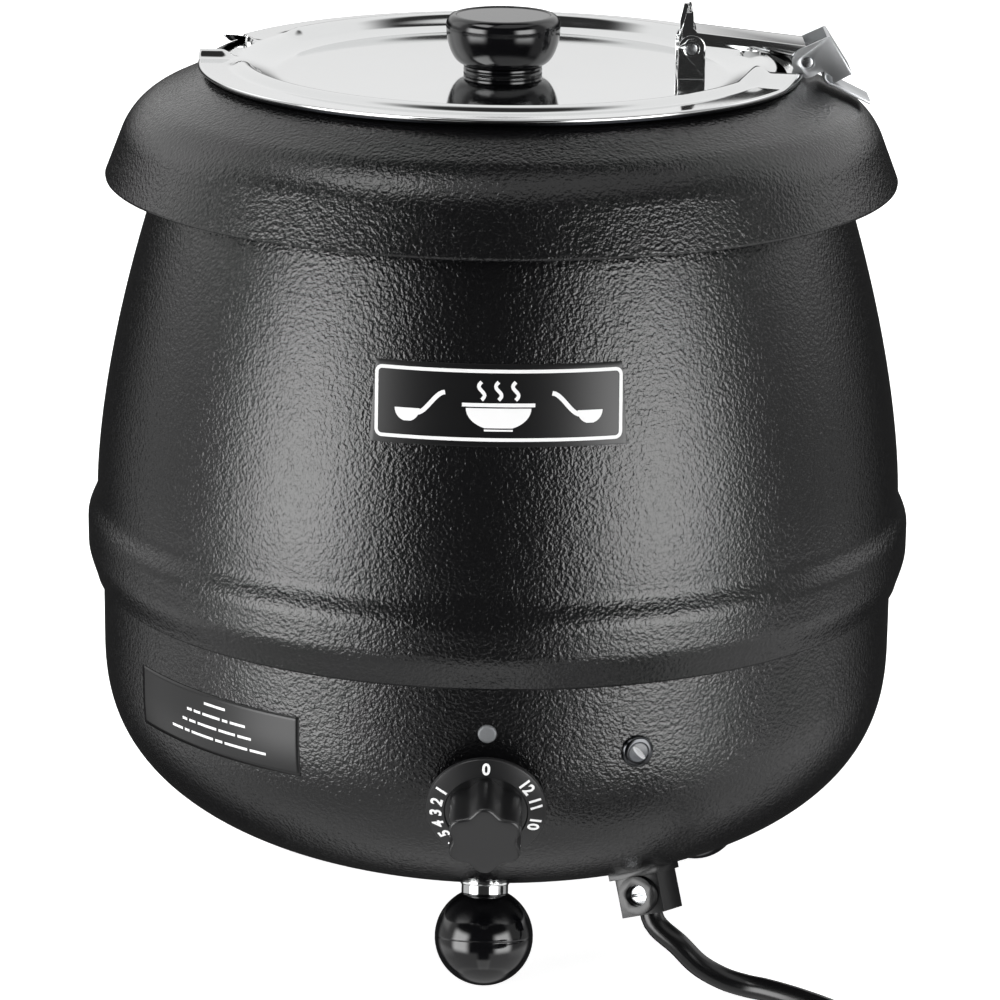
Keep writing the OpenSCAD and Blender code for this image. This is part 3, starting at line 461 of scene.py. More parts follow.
def offset(path, t):
    """A path moved sideways by t, to the right of its run."""
    pts = np.array(path, float)
    out = []
    for i in range(len(pts)):
        a, b = pts[max(i - 1, 0)], pts[min(i + 1, len(pts) - 1)]
        d = (b - a) / np.linalg.norm(b - a)
        out.append(pts[i] + t * np.array((d[1], -d[0])))
    return [(max(float(r), 0.0), float(z)) for r, z in out]


def sheet(path, t):
    """The closed outline of a sheet of thickness t, outside face first."""
    return [(max(r, 0.0), z) for r, z in path] + offset(path, t)[::-1]


def rounded(a, b, c, radius, n=14):
    """Points on an arc that rounds the corner b between a and c."""
    a, b, c = (np.array(v, float) for v in (a, b, c))
    u, v = (a - b) / np.linalg.norm(a - b), (c - b) / np.linalg.norm(c - b)
    half = math.acos(float(u @ v)) / 2
    middle = b + (u + v) / np.linalg.norm(u + v) * radius / math.sin(half)
    start = b + u * radius / math.tan(half) - middle
    turn = (-1 if u[0] * v[1] - u[1] * v[0] > 0 else 1) * (math.pi - 2 * half)
    return [tuple(middle + np.array((start[0] * math.cos(w) - start[1] * math.sin(w),
                                     start[0] * math.sin(w) + start[1] * math.cos(w))))
            for w in (turn * i / n for i in range(n + 1))]


def shell_r(z):
    """Radius of the shell: a flared wall that swells into a bead over its lower edge."""
    up = z - SEAM_Z
    bead = 4.0 * ease((38 - up) / 13) * ease((up + 3) / 18)
    return WAIST_R - (WAIST_R - NECK_R) * max((z - WAIST_Z) / (NECK_Z - WAIST_Z), 0) ** 1.63 + bead


def ring_top(r):
    """The height of the top ring's sloping face."""
    return CREST_Z - 0.478 * (r - OPEN_R)


def make_body():
    """Shell, top ring, base bowl and water well."""
    wall = [(shell_r(z), z) for z in np.linspace(NECK_Z, SEAM_Z + 1, 110)]
    shell = [(OPEN_R, LIP_Z), (OPEN_R + 3.8, LIP_Z), (OPEN_R + 6.8, LIP_Z - 2.8), (OPEN_R + 7.8, LIP_Z - 6.5),
             (131.6, CREST_Z - 18)] + wall + [(BOWL_R + 1.6, SEAM_Z)]
    fix(turned("shell", sheet(shell, 1.2), COAT, 256), "base", "black_powder_coat", "outer_shell")
    corner = (OPEN_R + 30.06, ring_top(OPEN_R + 30.06))
    foot = (163.5, CREST_Z - 42.3)
    ring = [(OPEN_R - 1.5, LIP_Z + 1), (OPEN_R - 1.5, CREST_Z - 0.9), (OPEN_R - 1.2, CREST_Z - 0.35),
            (OPEN_R - 0.7, CREST_Z - 0.1)] + rounded((OPEN_R, CREST_Z), corner, foot, 30, 30)
    ring += [foot, (foot[0] - 0.15, foot[1] - 0.8), (foot[0] - 0.6, foot[1] - 1.2)]
    fix(turned("top_flange", sheet(ring, 1.2), COAT, 256), "base", "black_powder_coat", "top_ring")
    bowl = [(BOWL_R, SEAM_Z + 20), (BOWL_R, SEAM_Z)]
    bowl += [(BOWL_R * math.sin(w) ** (2 / SQUARE),
              BOWL_BEND - (BOWL_BEND - BOWL_Z) * math.cos(w) ** (2 / SQUARE))
             for w in (math.pi / 2 * i / 72 for i in range(72, -1, -1))]
    fix(turned("base_shell", sheet(bowl, 1.2), COAT, 256), "base", "black_powder_coat", "base_bowl")
    well_r, well_z = OPEN_R - 1.9, BOWL_Z + 70
    well = [(OPEN_R + 3.4, LIP_Z), (well_r, LIP_Z)]
    well += rounded((well_r, LIP_Z), (well_r, well_z), (0, well_z), 16) + [(0, well_z)]
    fix(turned("well", sheet(well, 1.0), ALUMINIUM, 160), "base", "aluminium_sheet", "water_well")


RIM_Z, RIM_R, RIM_H = CREST_Z + 0.2, OPEN_R + 0.7, 2.1


def make_pot():
    """The lift-out pot, and the rolled rim it hangs by."""
    r, z = OPEN_R - 4.9, BOWL_Z + 70 + 21
    wall = [(RIM_R - 0.4, RIM_Z), (r, RIM_Z)] + rounded((r, RIM_Z), (r, z), (0, z), 24, 20) + [(0, z)]
    pot = turned("pot", sheet(wall, 0.9), MIRROR, 192)
    bead = [(RIM_R - 2.4, RIM_Z), (RIM_R - 0.4, RIM_Z), (RIM_R, RIM_Z + 0.5), (RIM_R, RIM_Z + RIM_H - 0.6),
            (RIM_R - 0.2, RIM_Z + RIM_H - 0.2), (RIM_R - 0.6, RIM_Z + RIM_H), (RIM_R - 1.9, RIM_Z + RIM_H),
            (RIM_R - 2.25, RIM_Z + RIM_H - 0.2), (RIM_R - 2.4, RIM_Z + RIM_H - 0.5)]
    # the rim is steel; its near-black colour is painted shade for the gap under the lid
    rim = turned("pot_rim", bead, RIM_PAINTED_SHADE, 192)
    fix(pot, "pot", "polished_steel", "soup_pot")
    fix(rim, "pot", "polished_steel")


# ---- lid ----
BRIM_Z = RIM_Z + RIM_H + 0.3 + 0.8
PANEL_Z = BRIM_Z - 4.1
NOTCH, HINGE_CUT = (-110.0, -92.0), (73.0, 107.0)


def lid_height(r, az):
    """The lid's top face: a flat panel, a raised brim, two pressed beads, and lips at its cut-outs."""
    z = PANEL_Z + (BRIM_Z - PANEL_Z) * ease((r - 92) / 18)
    for low, high in ((-84, 78), (118, 238)):
        side = az if low < 100 or az > 0 else az + 360
        inside = min(side - low, high - side) * math.pi / 180 * 106.5
        across = abs(r - 106.5) / 6.2
        if across < 1 and inside > 0:
            z += 2.5 * math.cos(across * math.pi / 2) ** 1.3 * ease(inside / 7)
    for edge, way in ((NOTCH[0], -1), (NOTCH[1], 1)):
        d = (az - edge) * way * math.pi / 180 * r
        if -0.01 <= d < 9 and r > 108:
            z += 3.0 * (1 - ease(d / 7)) * ease((r - 109) / 7)
    for edge, way in ((HINGE_CUT[0], -1), (HINGE_CUT[1], 1)):
        d = (az - edge) * way * math.pi / 180 * r
        if -0.01 <= d < 26 and r > 100:
            z += 2.9 * (1 - ease(d / 22)) * ease((r - 101) / 6)
    return z


def make_lid():
    """The lid with its ladle notch and hinge cut-out, its face pressed as lid_height says."""
    radii = [0.0, 20, 40, 60, 76, 86, 90, 92] + list(np.arange(93, 112.4, 0.75)) + [112.5, 113.6, 114.8]
    radii += list(np.arange(115.5, 124.2, 0.75)) + [124.1]
    edge = [(124.6, -0.18), (124.9, -0.45), (125.0, -0.8), (125.0, -1.6)]
    spread = set(np.arange(-180, 180, 1.5))
    for low, high in ((-118, -84), (46, 134)):
        spread |= set(np.arange(low, high + 0.1, 0.5))
    azimuths = sorted(float(a) for a in spread)
    points = []
    for r in radii:
        for a in azimuths:
            points.append((r * math.sin(rad(a)), -r * math.cos(rad(a)), lid_height(r, a)))
    for r, drop in edge:
        for a in azimuths:
            points.append((r * math.sin(rad(a)), -r * math.cos(rad(a)), lid_height(124.1, a) + drop))
    rows = radii + [r for r, _ in edge]
    faces = []
    count = len(azimuths)
    for i in range(len(rows) - 1):
        for j in range(count):
            middle = azimuths[j] + (((azimuths[(j + 1) % count] - azimuths[j]) % 360) / 2)
            in_notch = NOTCH[0] < middle < NOTCH[1] and rows[i] >= 114.79
            in_cut = HINGE_CUT[0] < middle < HINGE_CUT[1] and rows[i] >= 112.49
            if not (in_notch or in_cut):
                a, b = i * count + j, i * count + (j + 1) % count
                faces.append((a, a + count, b + count, b))
    lid = make_mesh("lid", points, faces, MIRROR, 50)
    thicken(lid, 0.8)
    fix(lid, "lid", "polished_steel", "lid")


def make_knob():
    """The mushroom knob: a short neck with a groove, a rounded bell and a flat top."""
    head, neck, high = 23.5, 16.2, 23.7
    path = [(0, 0), (neck - 0.2, 0), (neck, 0.25), (neck, 1.1), (neck - 0.5, 1.5), (neck, 1.9),
            (neck, 2.6), (neck - 0.7, 3.1)]
    path += [(neck - 0.4 + (head - neck + 0.4) * math.sin(w), 3.2 + (high - 7.6) * (1 - math.cos(w)))
             for w in (math.pi / 2 * i / 24 for i in range(25))]
    path += [(head - 3.7 * (1 - math.cos(w)), high - 4.4 + 4.4 * math.sin(w))
             for w in (math.pi / 2 * i / 12 for i in range(1, 13))]
    path += [(head - 4.1, high - 0.1), (head - 4.4, high - 0.45), (0, high - 0.5)]
    knob = turned("knob", [(r, z + PANEL_Z) for r, z in path], PHENOLIC, 128, closed=False, smooth=40)
    fix(knob, "lid", "black_phenolic", "lid_knob")


# ---- pieces whose shape the CAD gives: their triangles joined and their edges softened ----


def from_cad(name, node, material, bevel, smooth=32):
    """A copy of a CAD node with its triangles joined and its edges rounded by bevel millimetres."""
    bm = bmesh.new()
    bm.from_mesh(frame["nodes"][node].data)
    bmesh.ops.remove_doubles(bm, verts=bm.verts, dist=2e-6)
    bmesh.ops.dissolve_limit(bm, angle_limit=rad(0.6), verts=bm.verts, edges=bm.edges)
    mesh = bpy.data.meshes.new(name)
    bm.to_mesh(mesh)
    bm.free()
    mesh.materials.clear()
    mesh.materials.append(material)
    for polygon in mesh.polygons:
        polygon.material_index = 0
    piece = linked(name, mesh)
    soften(piece, bevel)
    piece.data.shade_smooth()
    piece.data.set_sharp_from_angle(angle=rad(smooth))
    return piece


# CAD node, the body it rides on, its slot, its finish and the rounding of its edges
COPIES = [
    ("lid_bracket", "lid", "polished_steel", MIRROR, 0.3), ("bracket_pin", "lid", "zinc_steel", STEEL, 0.3),
    ("bracket_rivets", "lid", "zinc_steel", STEEL, 0.25), ("lid_arm", "lid", "polished_steel", MIRROR, 0.35),
    ("knob_washer", "lid", "zinc_steel", STEEL, 0.15), ("knob_screw", "lid", "zinc_steel", STEEL, 0.2),
    ("hinge_channel", "pot", "polished_steel", SATIN, 0.3), ("hinge_pin", "pot", "zinc_steel", STEEL, 0.3),
    ("lever_pin", "pot", "zinc_steel", STEEL, 0.2), ("release_lever", "lever", "polished_steel", SATIN, 0.3),
    ("gland_body", "base", "black_plastic", BLOCK_BLACK, 0.35), ("gland_screw", "base", "zinc_steel", STEEL, 0.2),
    ("gland_clamp", "base", "cream_plastic", CREAM, 0.2), ("tie_bolt", "base", "zinc_steel", STEEL, 0.3),
    ("tie_washer", "base", "zinc_steel", STEEL, 0.25), ("plug_blades", "base", "brass", BRASS, 0.3),
    ("cord_tie", "base", "black_plastic", BLOCK_BLACK, 0.3),
]


def make_copies():
    for node, body, slot, material, bevel in COPIES:
        fix(from_cad(node + "_seen", node, material, bevel), body, slot, node)


make_body()
make_pot()
make_lid()
make_knob()
make_copies()

# ---- dial ----
BASE_TURN = -1.0
DIAL_Z, DIAL_LEAN = BOWL_Z + 70.4, 15.0


def on_bowl(az, r, z, tilt):
    """The place of something square to the bowl: its Z points out, its Y up."""
    return (Matrix.Rotation(rad(az), 4, "Z") @ Matrix.Translation((0, -r, z))
            @ Matrix.Rotation(rad(90 + tilt), 4, "X"))


def moved(points, place_at):
    """Points carried to a place."""
    return [tuple(place_at @ Vector(p)) for p in points]


AT_DIAL = on_bowl(BASE_TURN, bowl_r_at(DIAL_Z), DIAL_Z, DIAL_LEAN)
SKIRT = [(0, 6.2), (6.5, 6.2), (12, 5.8), (21.5, 5.0), (23.1, 5.1), (23.5, 5.5), (23.5, 6.85),
         (23.3, 7.2), (22.8, 7.42), (20, 8.2), (16.9, 9.08), (16.5, 9.15), (16.2, 9.0), (16.0, 8.6),
         (0, 8.6)]


def lathe_points(path, place_at, steps=96):
    """Points and faces of a path of (radius, height) turned round a local Z axis."""
    points = [(r * math.cos(2 * math.pi * j / steps), r * math.sin(2 * math.pi * j / steps), z)
              for r, z in path for j in range(steps)]
    return moved(points, place_at), grid_faces(len(path), steps, wrap=True)


def join_meshes(name, parts, material, smooth=35):
    """Several lots of points and faces as one piece."""
    points, faces = [], []
    for some, quads in parts:
        start = len(points)
        points += some
        faces += [tuple(start + i for i in quad) for quad in quads]
    return make_mesh(name, points, faces, material, smooth)


def grip_part():
    """The six-lobed grip: straight flutes, a rounded front edge and a flat front."""
    top, low, steps = 29.0, 8.2, 144
    rows = [(0.0, low)] + [(0.0, low + 0.01)] + [(0.0, z) for z in (14, 20, top - 1.3)]
    rows += [(1.3 * (1 - math.cos(w)), top - 1.3 + 1.3 * math.sin(w))
             for w in (math.pi / 2 * i / 5 for i in range(1, 6))]
    rows += [(4, top), (9, top), (12.2, top)]
    points = []
    for shrink, z in rows:
        for j in range(steps):
            w = 2 * math.pi * j / steps
            wave = math.cos(6 * (w - math.pi / 2))
            r = max(14.1 + 1.35 * wave + 0.12 * (1 - wave * wave) - shrink - 0.012 * (z - low), 0.05)
            points.append((r * math.cos(w), r * math.sin(w), z))
    faces = grid_faces(len(rows), steps, wrap=True)
    faces.append(tuple(range((len(rows) - 1) * steps, len(rows) * steps)))
    faces.append(tuple(range(steps - 1, -1, -1)))
    return moved(points, AT_DIAL), faces


def text_points(word, size):
    """A word's flat outline as triangles, its middle at the origin."""
    curve = bpy.data.curves.new("digits", "FONT")
    curve.body, curve.size, curve.align_x, curve.align_y = word, size, "CENTER", "CENTER"
    curve.offset, curve.resolution_u = size * 0.034, 4
    holder = linked("digits", curve)
    bpy.context.view_layer.update()
    mesh = bpy.data.meshes.new_from_object(holder.evaluated_get(bpy.context.evaluated_depsgraph_get()))
    bpy.data.objects.remove(holder)
    across, up = [v.co.x for v in mesh.vertices], [v.co.y for v in mesh.vertices]
    middle_x, middle_y = (max(across) + min(across)) / 2, (max(up) + min(up)) / 2
    return ([(x - middle_x, y - middle_y) for x, y in zip(across, up)],
            [tuple(p.vertices) for p in mesh.polygons])


# each number on the dial and how many degrees round it stands
DIGITS = [(0, 0), (1, 62), (2, 78), (3, 93), (4, 109), (5, 124), (6, 139), (7, 163), (8, 190), (9, 216),
          (10, 252), (11, 281), (12, 305)]
DIGIT_SIZE, DIGIT_WIDE, DIGIT_R, INK = 5.6, 1.12, 19.7, 0.07


def skirt_height(r):
    """The height of the dial skirt's sloping face."""
    return 9.15 - (r - 16.5) * (9.15 - 7.42) / (22.8 - 16.5)


def make_dial():
    """The dial, and the numbers printed on its skirt."""
    dial = join_meshes("dial_knob", [lathe_points(SKIRT, AT_DIAL), grip_part()], DIAL_BLACK)
    fix(dial, "dial", "black_phenolic", "dial")
    parts = []
    for number, turn in DIGITS:
        flat, faces = text_points(str(number), DIGIT_SIZE)
        w = rad(turn)
        points = []
        for x, y in flat:
            x, y = x * DIGIT_WIDE, y * DIGIT_WIDE + DIGIT_R
            spot = (x * math.cos(w) - y * math.sin(w), x * math.sin(w) + y * math.cos(w))
            points.append((spot[0], spot[1], skirt_height(math.hypot(*spot)) + INK))
        parts.append((moved(points, AT_DIAL), faces))
    numbers = join_meshes("dial_numbers", parts, PRINT)
    fix(numbers, "dial", "black_phenolic")


def make_indicator():
    """The domed stud above the dial."""
    at = on_bowl(BASE_TURN, BOWL_R, BOWL_Z + 97.7, 0)
    path = [(0, -0.4), (3.6, -0.4), (3.7, 0.1), (3.62, 0.6), (3.3, 1.05), (2.9, 1.2), (2.2, 1.12), (0, 0.95)]
    points, faces = lathe_points(path, at, 48)
    fix(make_mesh("index_stud", points, faces, DOT), "base", "aluminium_sheet", "index_dot")


LAMP_AZ, LAMP_Z = 20.6 + BASE_TURN, BOWL_Z + 88


def ribs_tree():
    """Geometry nodes that lay a row of bars, each as long as the round lens is wide there."""
    tree, given = node_group("lens ribs", (("Bars", "Int"), ("Pitch", "Float"), ("Lens radius", "Float"),
                                           ("Finish", "Material")), "Ribs")
    half = calc(tree, "ADD", calc(tree, "MULTIPLY", given["Bars"], -0.5), 0.5)
    start = add(tree, "ShaderNodeCombineXYZ", {"X": calc(tree, "MULTIPLY", half, given["Pitch"])})
    step = add(tree, "ShaderNodeCombineXYZ", {"X": given["Pitch"]})
    row = add(tree, "GeometryNodeMeshLine", {"Count": given["Bars"], "Start Location": start.outputs[0],
                                             "Offset": step.outputs[0]})
    where = add(tree, "GeometryNodeInputPosition")
    x = add(tree, "ShaderNodeSeparateXYZ", {0: where.outputs[0]}).outputs["X"]
    whole = calc(tree, "MULTIPLY", given["Lens radius"], given["Lens radius"])
    reach = calc(tree, "SQRT", calc(tree, "SUBTRACT", whole, calc(tree, "MULTIPLY", x, x)))
    bar = add(tree, "GeometryNodeMeshCylinder", {"Vertices": 12, "Radius": given["Pitch"], "Depth": 2.0})
    shape = add(tree, "GeometryNodeTransform", {"Geometry": bar.outputs["Mesh"], "Scale": (0.21, 1, 0.3),
                                                "Rotation": (math.pi / 2, 0, 0)})
    scale = add(tree, "ShaderNodeCombineXYZ", {"X": 1.0, "Y": reach, "Z": 1.0})
    laid = add(tree, "GeometryNodeInstanceOnPoints", {"Points": row.outputs[0], "Scale": scale.outputs[0],
                                                      "Instance": shape.outputs[0]})
    hand_out(tree, laid.outputs[0], given["Finish"], "Ribs")
    return tree


def make_lamp():
    """The signal lamp: its ring, its lens and the ribs on the lens."""
    at = on_bowl(LAMP_AZ, bowl_r_at(LAMP_Z), LAMP_Z, 1.5)
    bezel = [(4.15, 0.2), (4.15, 1.75), (4.4, 1.95), (5.6, 1.85), (6.3, 1.3), (6.5, 0.5), (6.5, -0.8),
             (4.8, -0.8), (4.8, -8), (4.15, -8), (4.15, 0.2)]
    points, faces = lathe_points(bezel, at, 64)
    fix(make_mesh("lamp_ring", points, faces, CHROME), "base", "chrome", "lamp_bezel")
    lens = [(0, -5), (4.1, -5), (4.1, 1.5), (3.9, 1.8), (3.6, 1.9), (0, 1.9)]
    points, faces = lathe_points(lens, at, 64)
    fix(make_mesh("lamp_window", points, faces, LENS), "base", "clear_lens", "lamp_lens")
    piece = linked("lamp_ribs", bpy.data.meshes.new("lamp_ribs"))
    modifier = piece.modifiers.new("ribs", "NODES")
    modifier.node_group = ribs_tree()
    # the ribs' finish paints their highlights as near-white colour
    set_inputs(modifier, Bars=9, Pitch=0.0008, Lens_radius=0.0036, Finish=LENS_RIB_HIGHLIGHT)
    plain(piece)
    spin = at @ Matrix.Rotation(rad(-48), 4, "Z")
    for vertex in piece.data.vertices:
        vertex.co = (spin @ (Vector(vertex.co) / MM + Vector((0, 0, 1.9)))) * MM
    tidy(piece.data, 40)
    fix(piece, "base", "clear_lens")


# ---- printed plates, laid on the body ----


def wrapped(radius_at, az0, lift, rows, name, material):
    """Flat patches given as (s, z) grids in millimetres, wrapped round the body at angle az0."""
    points, faces = [], []
    for grid in rows:
        start, count = len(points), len(grid[0])
        for line in grid:
            for s, z in line:
                r = radius_at(z) + lift
                a = rad(az0) + s / radius_at(z)
                points.append((r * math.sin(a), -r * math.cos(a), z))
        faces += [tuple(start + i for i in quad) for quad in grid_faces(len(grid), count)]
    return make_mesh(name, points, faces, material, 60)


def ribbon(path, width, closed=False):
    """A line of the given width along a flat path, as a grid of two long rows."""
    pts = [np.array(p, float) for p in path]
    out = ([], [])
    count = len(pts)
    for i in range(count + (1 if closed else 0)):
        here = pts[i % count]
        before = pts[(i - 1) % count] if closed or i else pts[0]
        after = pts[(i + 1) % count] if closed or i < count - 1 else pts[-1]
        d = (after - before) / np.linalg.norm(after - before)
        n = np.array((-d[1], d[0])) * width / 2
        out[0].append(tuple(here + n))
        out[1].append(tuple(here - n))
    return [out[0], out[1]]


def filled(left, right, low, high, rows=14, cols=16):
    """A filled shape between two edges that are functions of the height."""
    return [[(left(z) + (right(z) - left(z)) * j / cols, z) for j in range(cols + 1)]
            for z in (low + (high - low) * i / rows for i in range(rows + 1))]


def round_frame(half_w, z0, z1, corner):
    """A rounded rectangle's outline, with points close enough to bend round the body."""
    middle, half_h = (z0 + z1) / 2, (z1 - z0) / 2
    path = []
    for sx, sz, start in ((1, 1, 0), (-1, 1, 90), (-1, -1, 180), (1, -1, 270)):
        cx, cz = sx * (half_w - corner), middle + sz * (half_h - corner)
        for i in range(9):
            w = rad(start + 90 * i / 8)
            path.append((cx + corner * math.cos(w), cz + corner * math.sin(w)))
        if start in (0, 180):
            path += [(cx - sx * 2 * (half_w - corner) * t / 24, middle + sz * half_h) for t in range(1, 24)]
        else:
            path += [(sx * half_w, cz - sz * 2 * (half_h - corner) * t / 6) for t in range(1, 6)]
    return path


PLATE_Z, PLATE_HALF = (245.1, 276.0), 17.8  # millimetres up, degrees to each side


def rounded_side(side, middle, half, level, tall):
    """One side of a bowl shape as a function of the height: half as wide, tall deep, level its top."""
    return lambda z: middle + side * half * math.sqrt(max(1 - ((level - z) / tall) ** 2, 0.03))


def upright(s):
    """A straight side at s."""
    return lambda z: s


def make_plate():
    """The name plate and its print: a frame, a soup bowl under steam, and a ladle to each side."""
    low, high = PLATE_Z
    grid = [[(rad(s) * shell_r(z), z) for s in np.linspace(-PLATE_HALF, PLATE_HALF, 61)]
            for z in np.linspace(low, high, 17)]
    plate = wrapped(shell_r, 0, 0.58, [grid], "name_plate", PLATE)
    thicken(plate, 0.55)
    fix(soften(plate, 0.15), "base", "black_plate", "nameplate")
    middle = (low + high) / 2
    marks = [ribbon(round_frame(47.4, low + 2.7, high - 2.7, 2.2), 1.3, closed=True)]
    # a bowl on a foot, under three rising curls of steam
    top = middle - 1.0
    marks.append(filled(*(rounded_side(side, 0, 12.5, top, 8.2) for side in (-1, 1)), top - 7.4, top))
    marks.append(filled(upright(-14.0), upright(14.0), top + 0.5, top + 1.9, 2, 20))
    marks.append(filled(upright(-5.5), upright(5.5), top - 8.6, top - 7.9, 2, 10))
    for x in (-6.5, 0, 6.5):
        curl = [(x + 1.1 * math.sin(t * math.pi / 6), top + 3.1 + t * 0.56) for t in range(13)]
        marks.append(ribbon(curl, 1.4))
    # a ladle to each side
    for side in (-1, 1):
        handle = [(side * (20.5 + t), middle + 4.6 - 8.2 * ease(t / 11)) for t in range(12)]
        marks.append(ribbon(handle, 1.7))
        level = middle - 3.4 + 1.4
        cup = (rounded_side(edge, side * 35.2, 4.9, level, 5.0) for edge in (-1, 1))
        marks.append(filled(*cup, level - 4.8, level, 8, 10))
    printed = wrapped(shell_r, 0, 0.63, marks, "plate_print", SILVER_PRINT)
    fix(printed, "base", "black_plate")


LABEL_AZ, LABEL_Z = -43.6, (105.1, 130.1)


def make_label():
    """The small label low on the bowl, its lines of words shown as blank bars."""
    low, high = LABEL_Z
    half = rad(16) * BOWL_R
    grid = [[(s, z) for s in np.linspace(-half, half, 49)] for z in np.linspace(low, high, 15)]
    label = wrapped(bowl_r_at, LABEL_AZ, 0.28, [grid], "care_label", PLATE)
    thicken(label, 0.25)
    fix(label, "base", "black_plate", "info_label")
    bars = []
    runs = [(0, (5,)), (1, (3, 4, 10, 3, 8)), (2, (3, 4, 11, 9, 7)), (3, (7, 3, 13, 4, 12, 8))]
    for line, lengths in runs:
        z = high - 4.3 - 4.7 * line
        total = sum(lengths) + 1.3 * (len(lengths) - 1) if line else 12
        s = -total / 2 + 4
        for length in (lengths if line else (12,)):
            bars.append([[(s + length * t / 8, z + edge) for t in range(9)] for edge in (0.55, -0.55)])
            s += length + 1.3
    fix(wrapped(bowl_r_at, LABEL_AZ, 0.33, bars, "label_bars", PRINT), "base", "black_plate")


# ---- feet ----
BALL_R, COLLAR_R = 20.2, 9.6
# where a foot's line starts on the bowl, and how many degrees it leans outwards
FOOT_R0, FOOT_Z0, FOOT_LEAN = 95.0, 42.17, 14.8671
FEET = {"front": -1, "right": 119, "left": 239}
FOOT_DROP = (FOOT_Z0 - BALL_R + 0.2) / math.cos(rad(FOOT_LEAN))


def foot_place(az):
    """The place of a foot: its Z points down and outwards."""
    return (Matrix.Rotation(rad(az + BASE_TURN), 4, "Z") @ Matrix.Translation((0, -FOOT_R0, FOOT_Z0))
            @ Matrix.Rotation(rad(180 - FOOT_LEAN), 4, "X"))


def ball_spot(w):
    """A point of the ball's outline, w from its top, with the mould's fine parting groove half way."""
    r = BALL_R - 0.14 * math.exp(-((w - math.pi / 2) * BALL_R / 0.22) ** 2)
    return r * math.sin(w), FOOT_DROP - r * math.cos(w)


def make_feet():
    """Three ball feet, cut flat where they stand, and the flanged collars they are screwed to."""
    h = FOOT_DROP - math.sqrt(BALL_R ** 2 - COLLAR_R ** 2)
    start = math.acos((FOOT_DROP - h) / BALL_R)
    turns = [start + (math.pi - start) * i / 60 for i in range(61)]
    turns += [w + 0.05 * k / 8 for w in turns if abs(w - math.pi / 2) < 0.025 for k in range(1, 8)]
    ball = [(0, FOOT_DROP - BALL_R * math.cos(start))] + sorted(map(ball_spot, turns), key=lambda p: p[1])
    collar = [(4, -1.2), (COLLAR_R + 0.4, -1.2), (COLLAR_R + 0.5, -0.6), (COLLAR_R + 0.5, 1.0),
              (COLLAR_R + 0.3, 1.3), (COLLAR_R, 1.45), (COLLAR_R, h - 0.35), (COLLAR_R - 0.3, h), (4, h),
              (4, -1.2)]
    for side, az in FEET.items():
        points, faces = lathe_points(ball, foot_place(az), 96)
        points = [(x, y, max(z, 0.0)) for x, y, z in points]
        piece = make_mesh("foot_ball_" + side, points, faces, PHENOLIC, 60)
        fix(piece, "base", "black_phenolic", "foot_" + side)
    parts = [lathe_points(collar, foot_place(az), 72) for az in FEET.values()]
    fix(join_meshes("foot_ferrules", parts, MIRROR), "base", "polished_steel", "foot_collars")


# ---- plug and spring ----


def make_plug():
    """The moulded plug, from its ribbed sleeve to its grip rings, and its round earth prong."""
    at = (Matrix.Translation((COIL_C[0] + PLUG_REACH, COIL_C[1] - 18, PLUG_UP))
          @ Matrix.Rotation(rad(-90), 4, "X"))
    path = [(0, 26), (5.6, 26), (5.75, 25.6)]
    for i in range(5):
        z, swell = 24 - i * 2.6, i * 0.1
        path += [(5.9 + swell, z + 1.2), (5.3 + swell, z + 0.9), (5.3 + swell, z), (6.0 + swell, z - 0.3)]
    path += [(7.2, 11.5), (8.6, 7), (10.6, 1.2), (12.2, -0.6), (12.9, -2.5), (13, -6)]
    for i in range(4):
        z = -8 - i * 3
        path += [(13, z + 1), (12.3, z + 0.6), (12.3, z - 0.6), (13, z - 1)]
    path += [(13, -24), (12.6, -25.6), (11.8, -26), (0, -26)]
    points, faces = lathe_points(path[::-1], at, 64)
    fix(make_mesh("plug_moulding", points, faces, RUBBER, 45), "base", "black_rubber", "plug_body")
    pin = [(0, -25.9), (2.4, -25.9), (2.4, -44)]
    pin += [(2.4 * math.cos(w), -44 - 2.4 * math.sin(w)) for w in (math.pi / 2 * i / 8 for i in range(1, 9))]
    points, faces = lathe_points(pin, at @ Matrix.Translation((0, 8.3, 0)), 40)
    fix(make_mesh("earth_prong", points, faces, BRASS), "base", "brass", "plug_earth_pin")


def spring_tree():
    """Geometry nodes that sweep a round wire along a helix."""
    tree, given = node_group("coil spring", (("Turns", "Float"), ("Radius", "Float"), ("Length", "Float"),
                                             ("Wire", "Float"), ("Finish", "Material")), "Spring")
    helix = add(tree, "GeometryNodeCurveSpiral", {"Resolution": 24, "Rotations": given["Turns"],
                                                  "Start Radius": given["Radius"],
                                                  "End Radius": given["Radius"], "Height": given["Length"]})
    wire = add(tree, "GeometryNodeCurvePrimitiveCircle", {"Resolution": 10, "Radius": given["Wire"]})
    swept = add(tree, "GeometryNodeCurveToMesh", {"Curve": helix.outputs[0], "Profile Curve": wire.outputs[0],
                                                  "Fill Caps": True})
    hand_out(tree, swept.outputs[0], given["Finish"], "Spring")
    return tree


# the lid's hinge pin, and the lever's pin with the spring round it
PIN_X, PIN_Z = OPEN_R + 1.6, RIM_Z + RIM_H + 4.5
LEVER_X, LEVER_Z = PIN_X + 9.3, PIN_Z - 2.4


def make_spring():
    """The release lever's spring, round the lever's pin."""
    piece = linked("lever_coil", bpy.data.meshes.new("lever_coil"))
    modifier = piece.modifiers.new("spring", "NODES")
    modifier.node_group = spring_tree()
    set_inputs(modifier, Turns=7.0, Radius=0.00195, Length=0.0068, Wire=0.00036, Finish=STEEL)
    plain(piece)
    at = Matrix.Translation((LEVER_X, 3.4, LEVER_Z)) @ Matrix.Rotation(rad(90), 4, "X")
    for vertex in piece.data.vertices:
        vertex.co = (at @ (Vector(vertex.co) / MM)) * MM
    tidy(piece.data, 50)
    fix(piece, "pot", "zinc_steel", "lever_spring")


make_dial()
make_indicator()
make_lamp()
make_plate()
make_label()
make_feet()
make_plug()
make_spring()

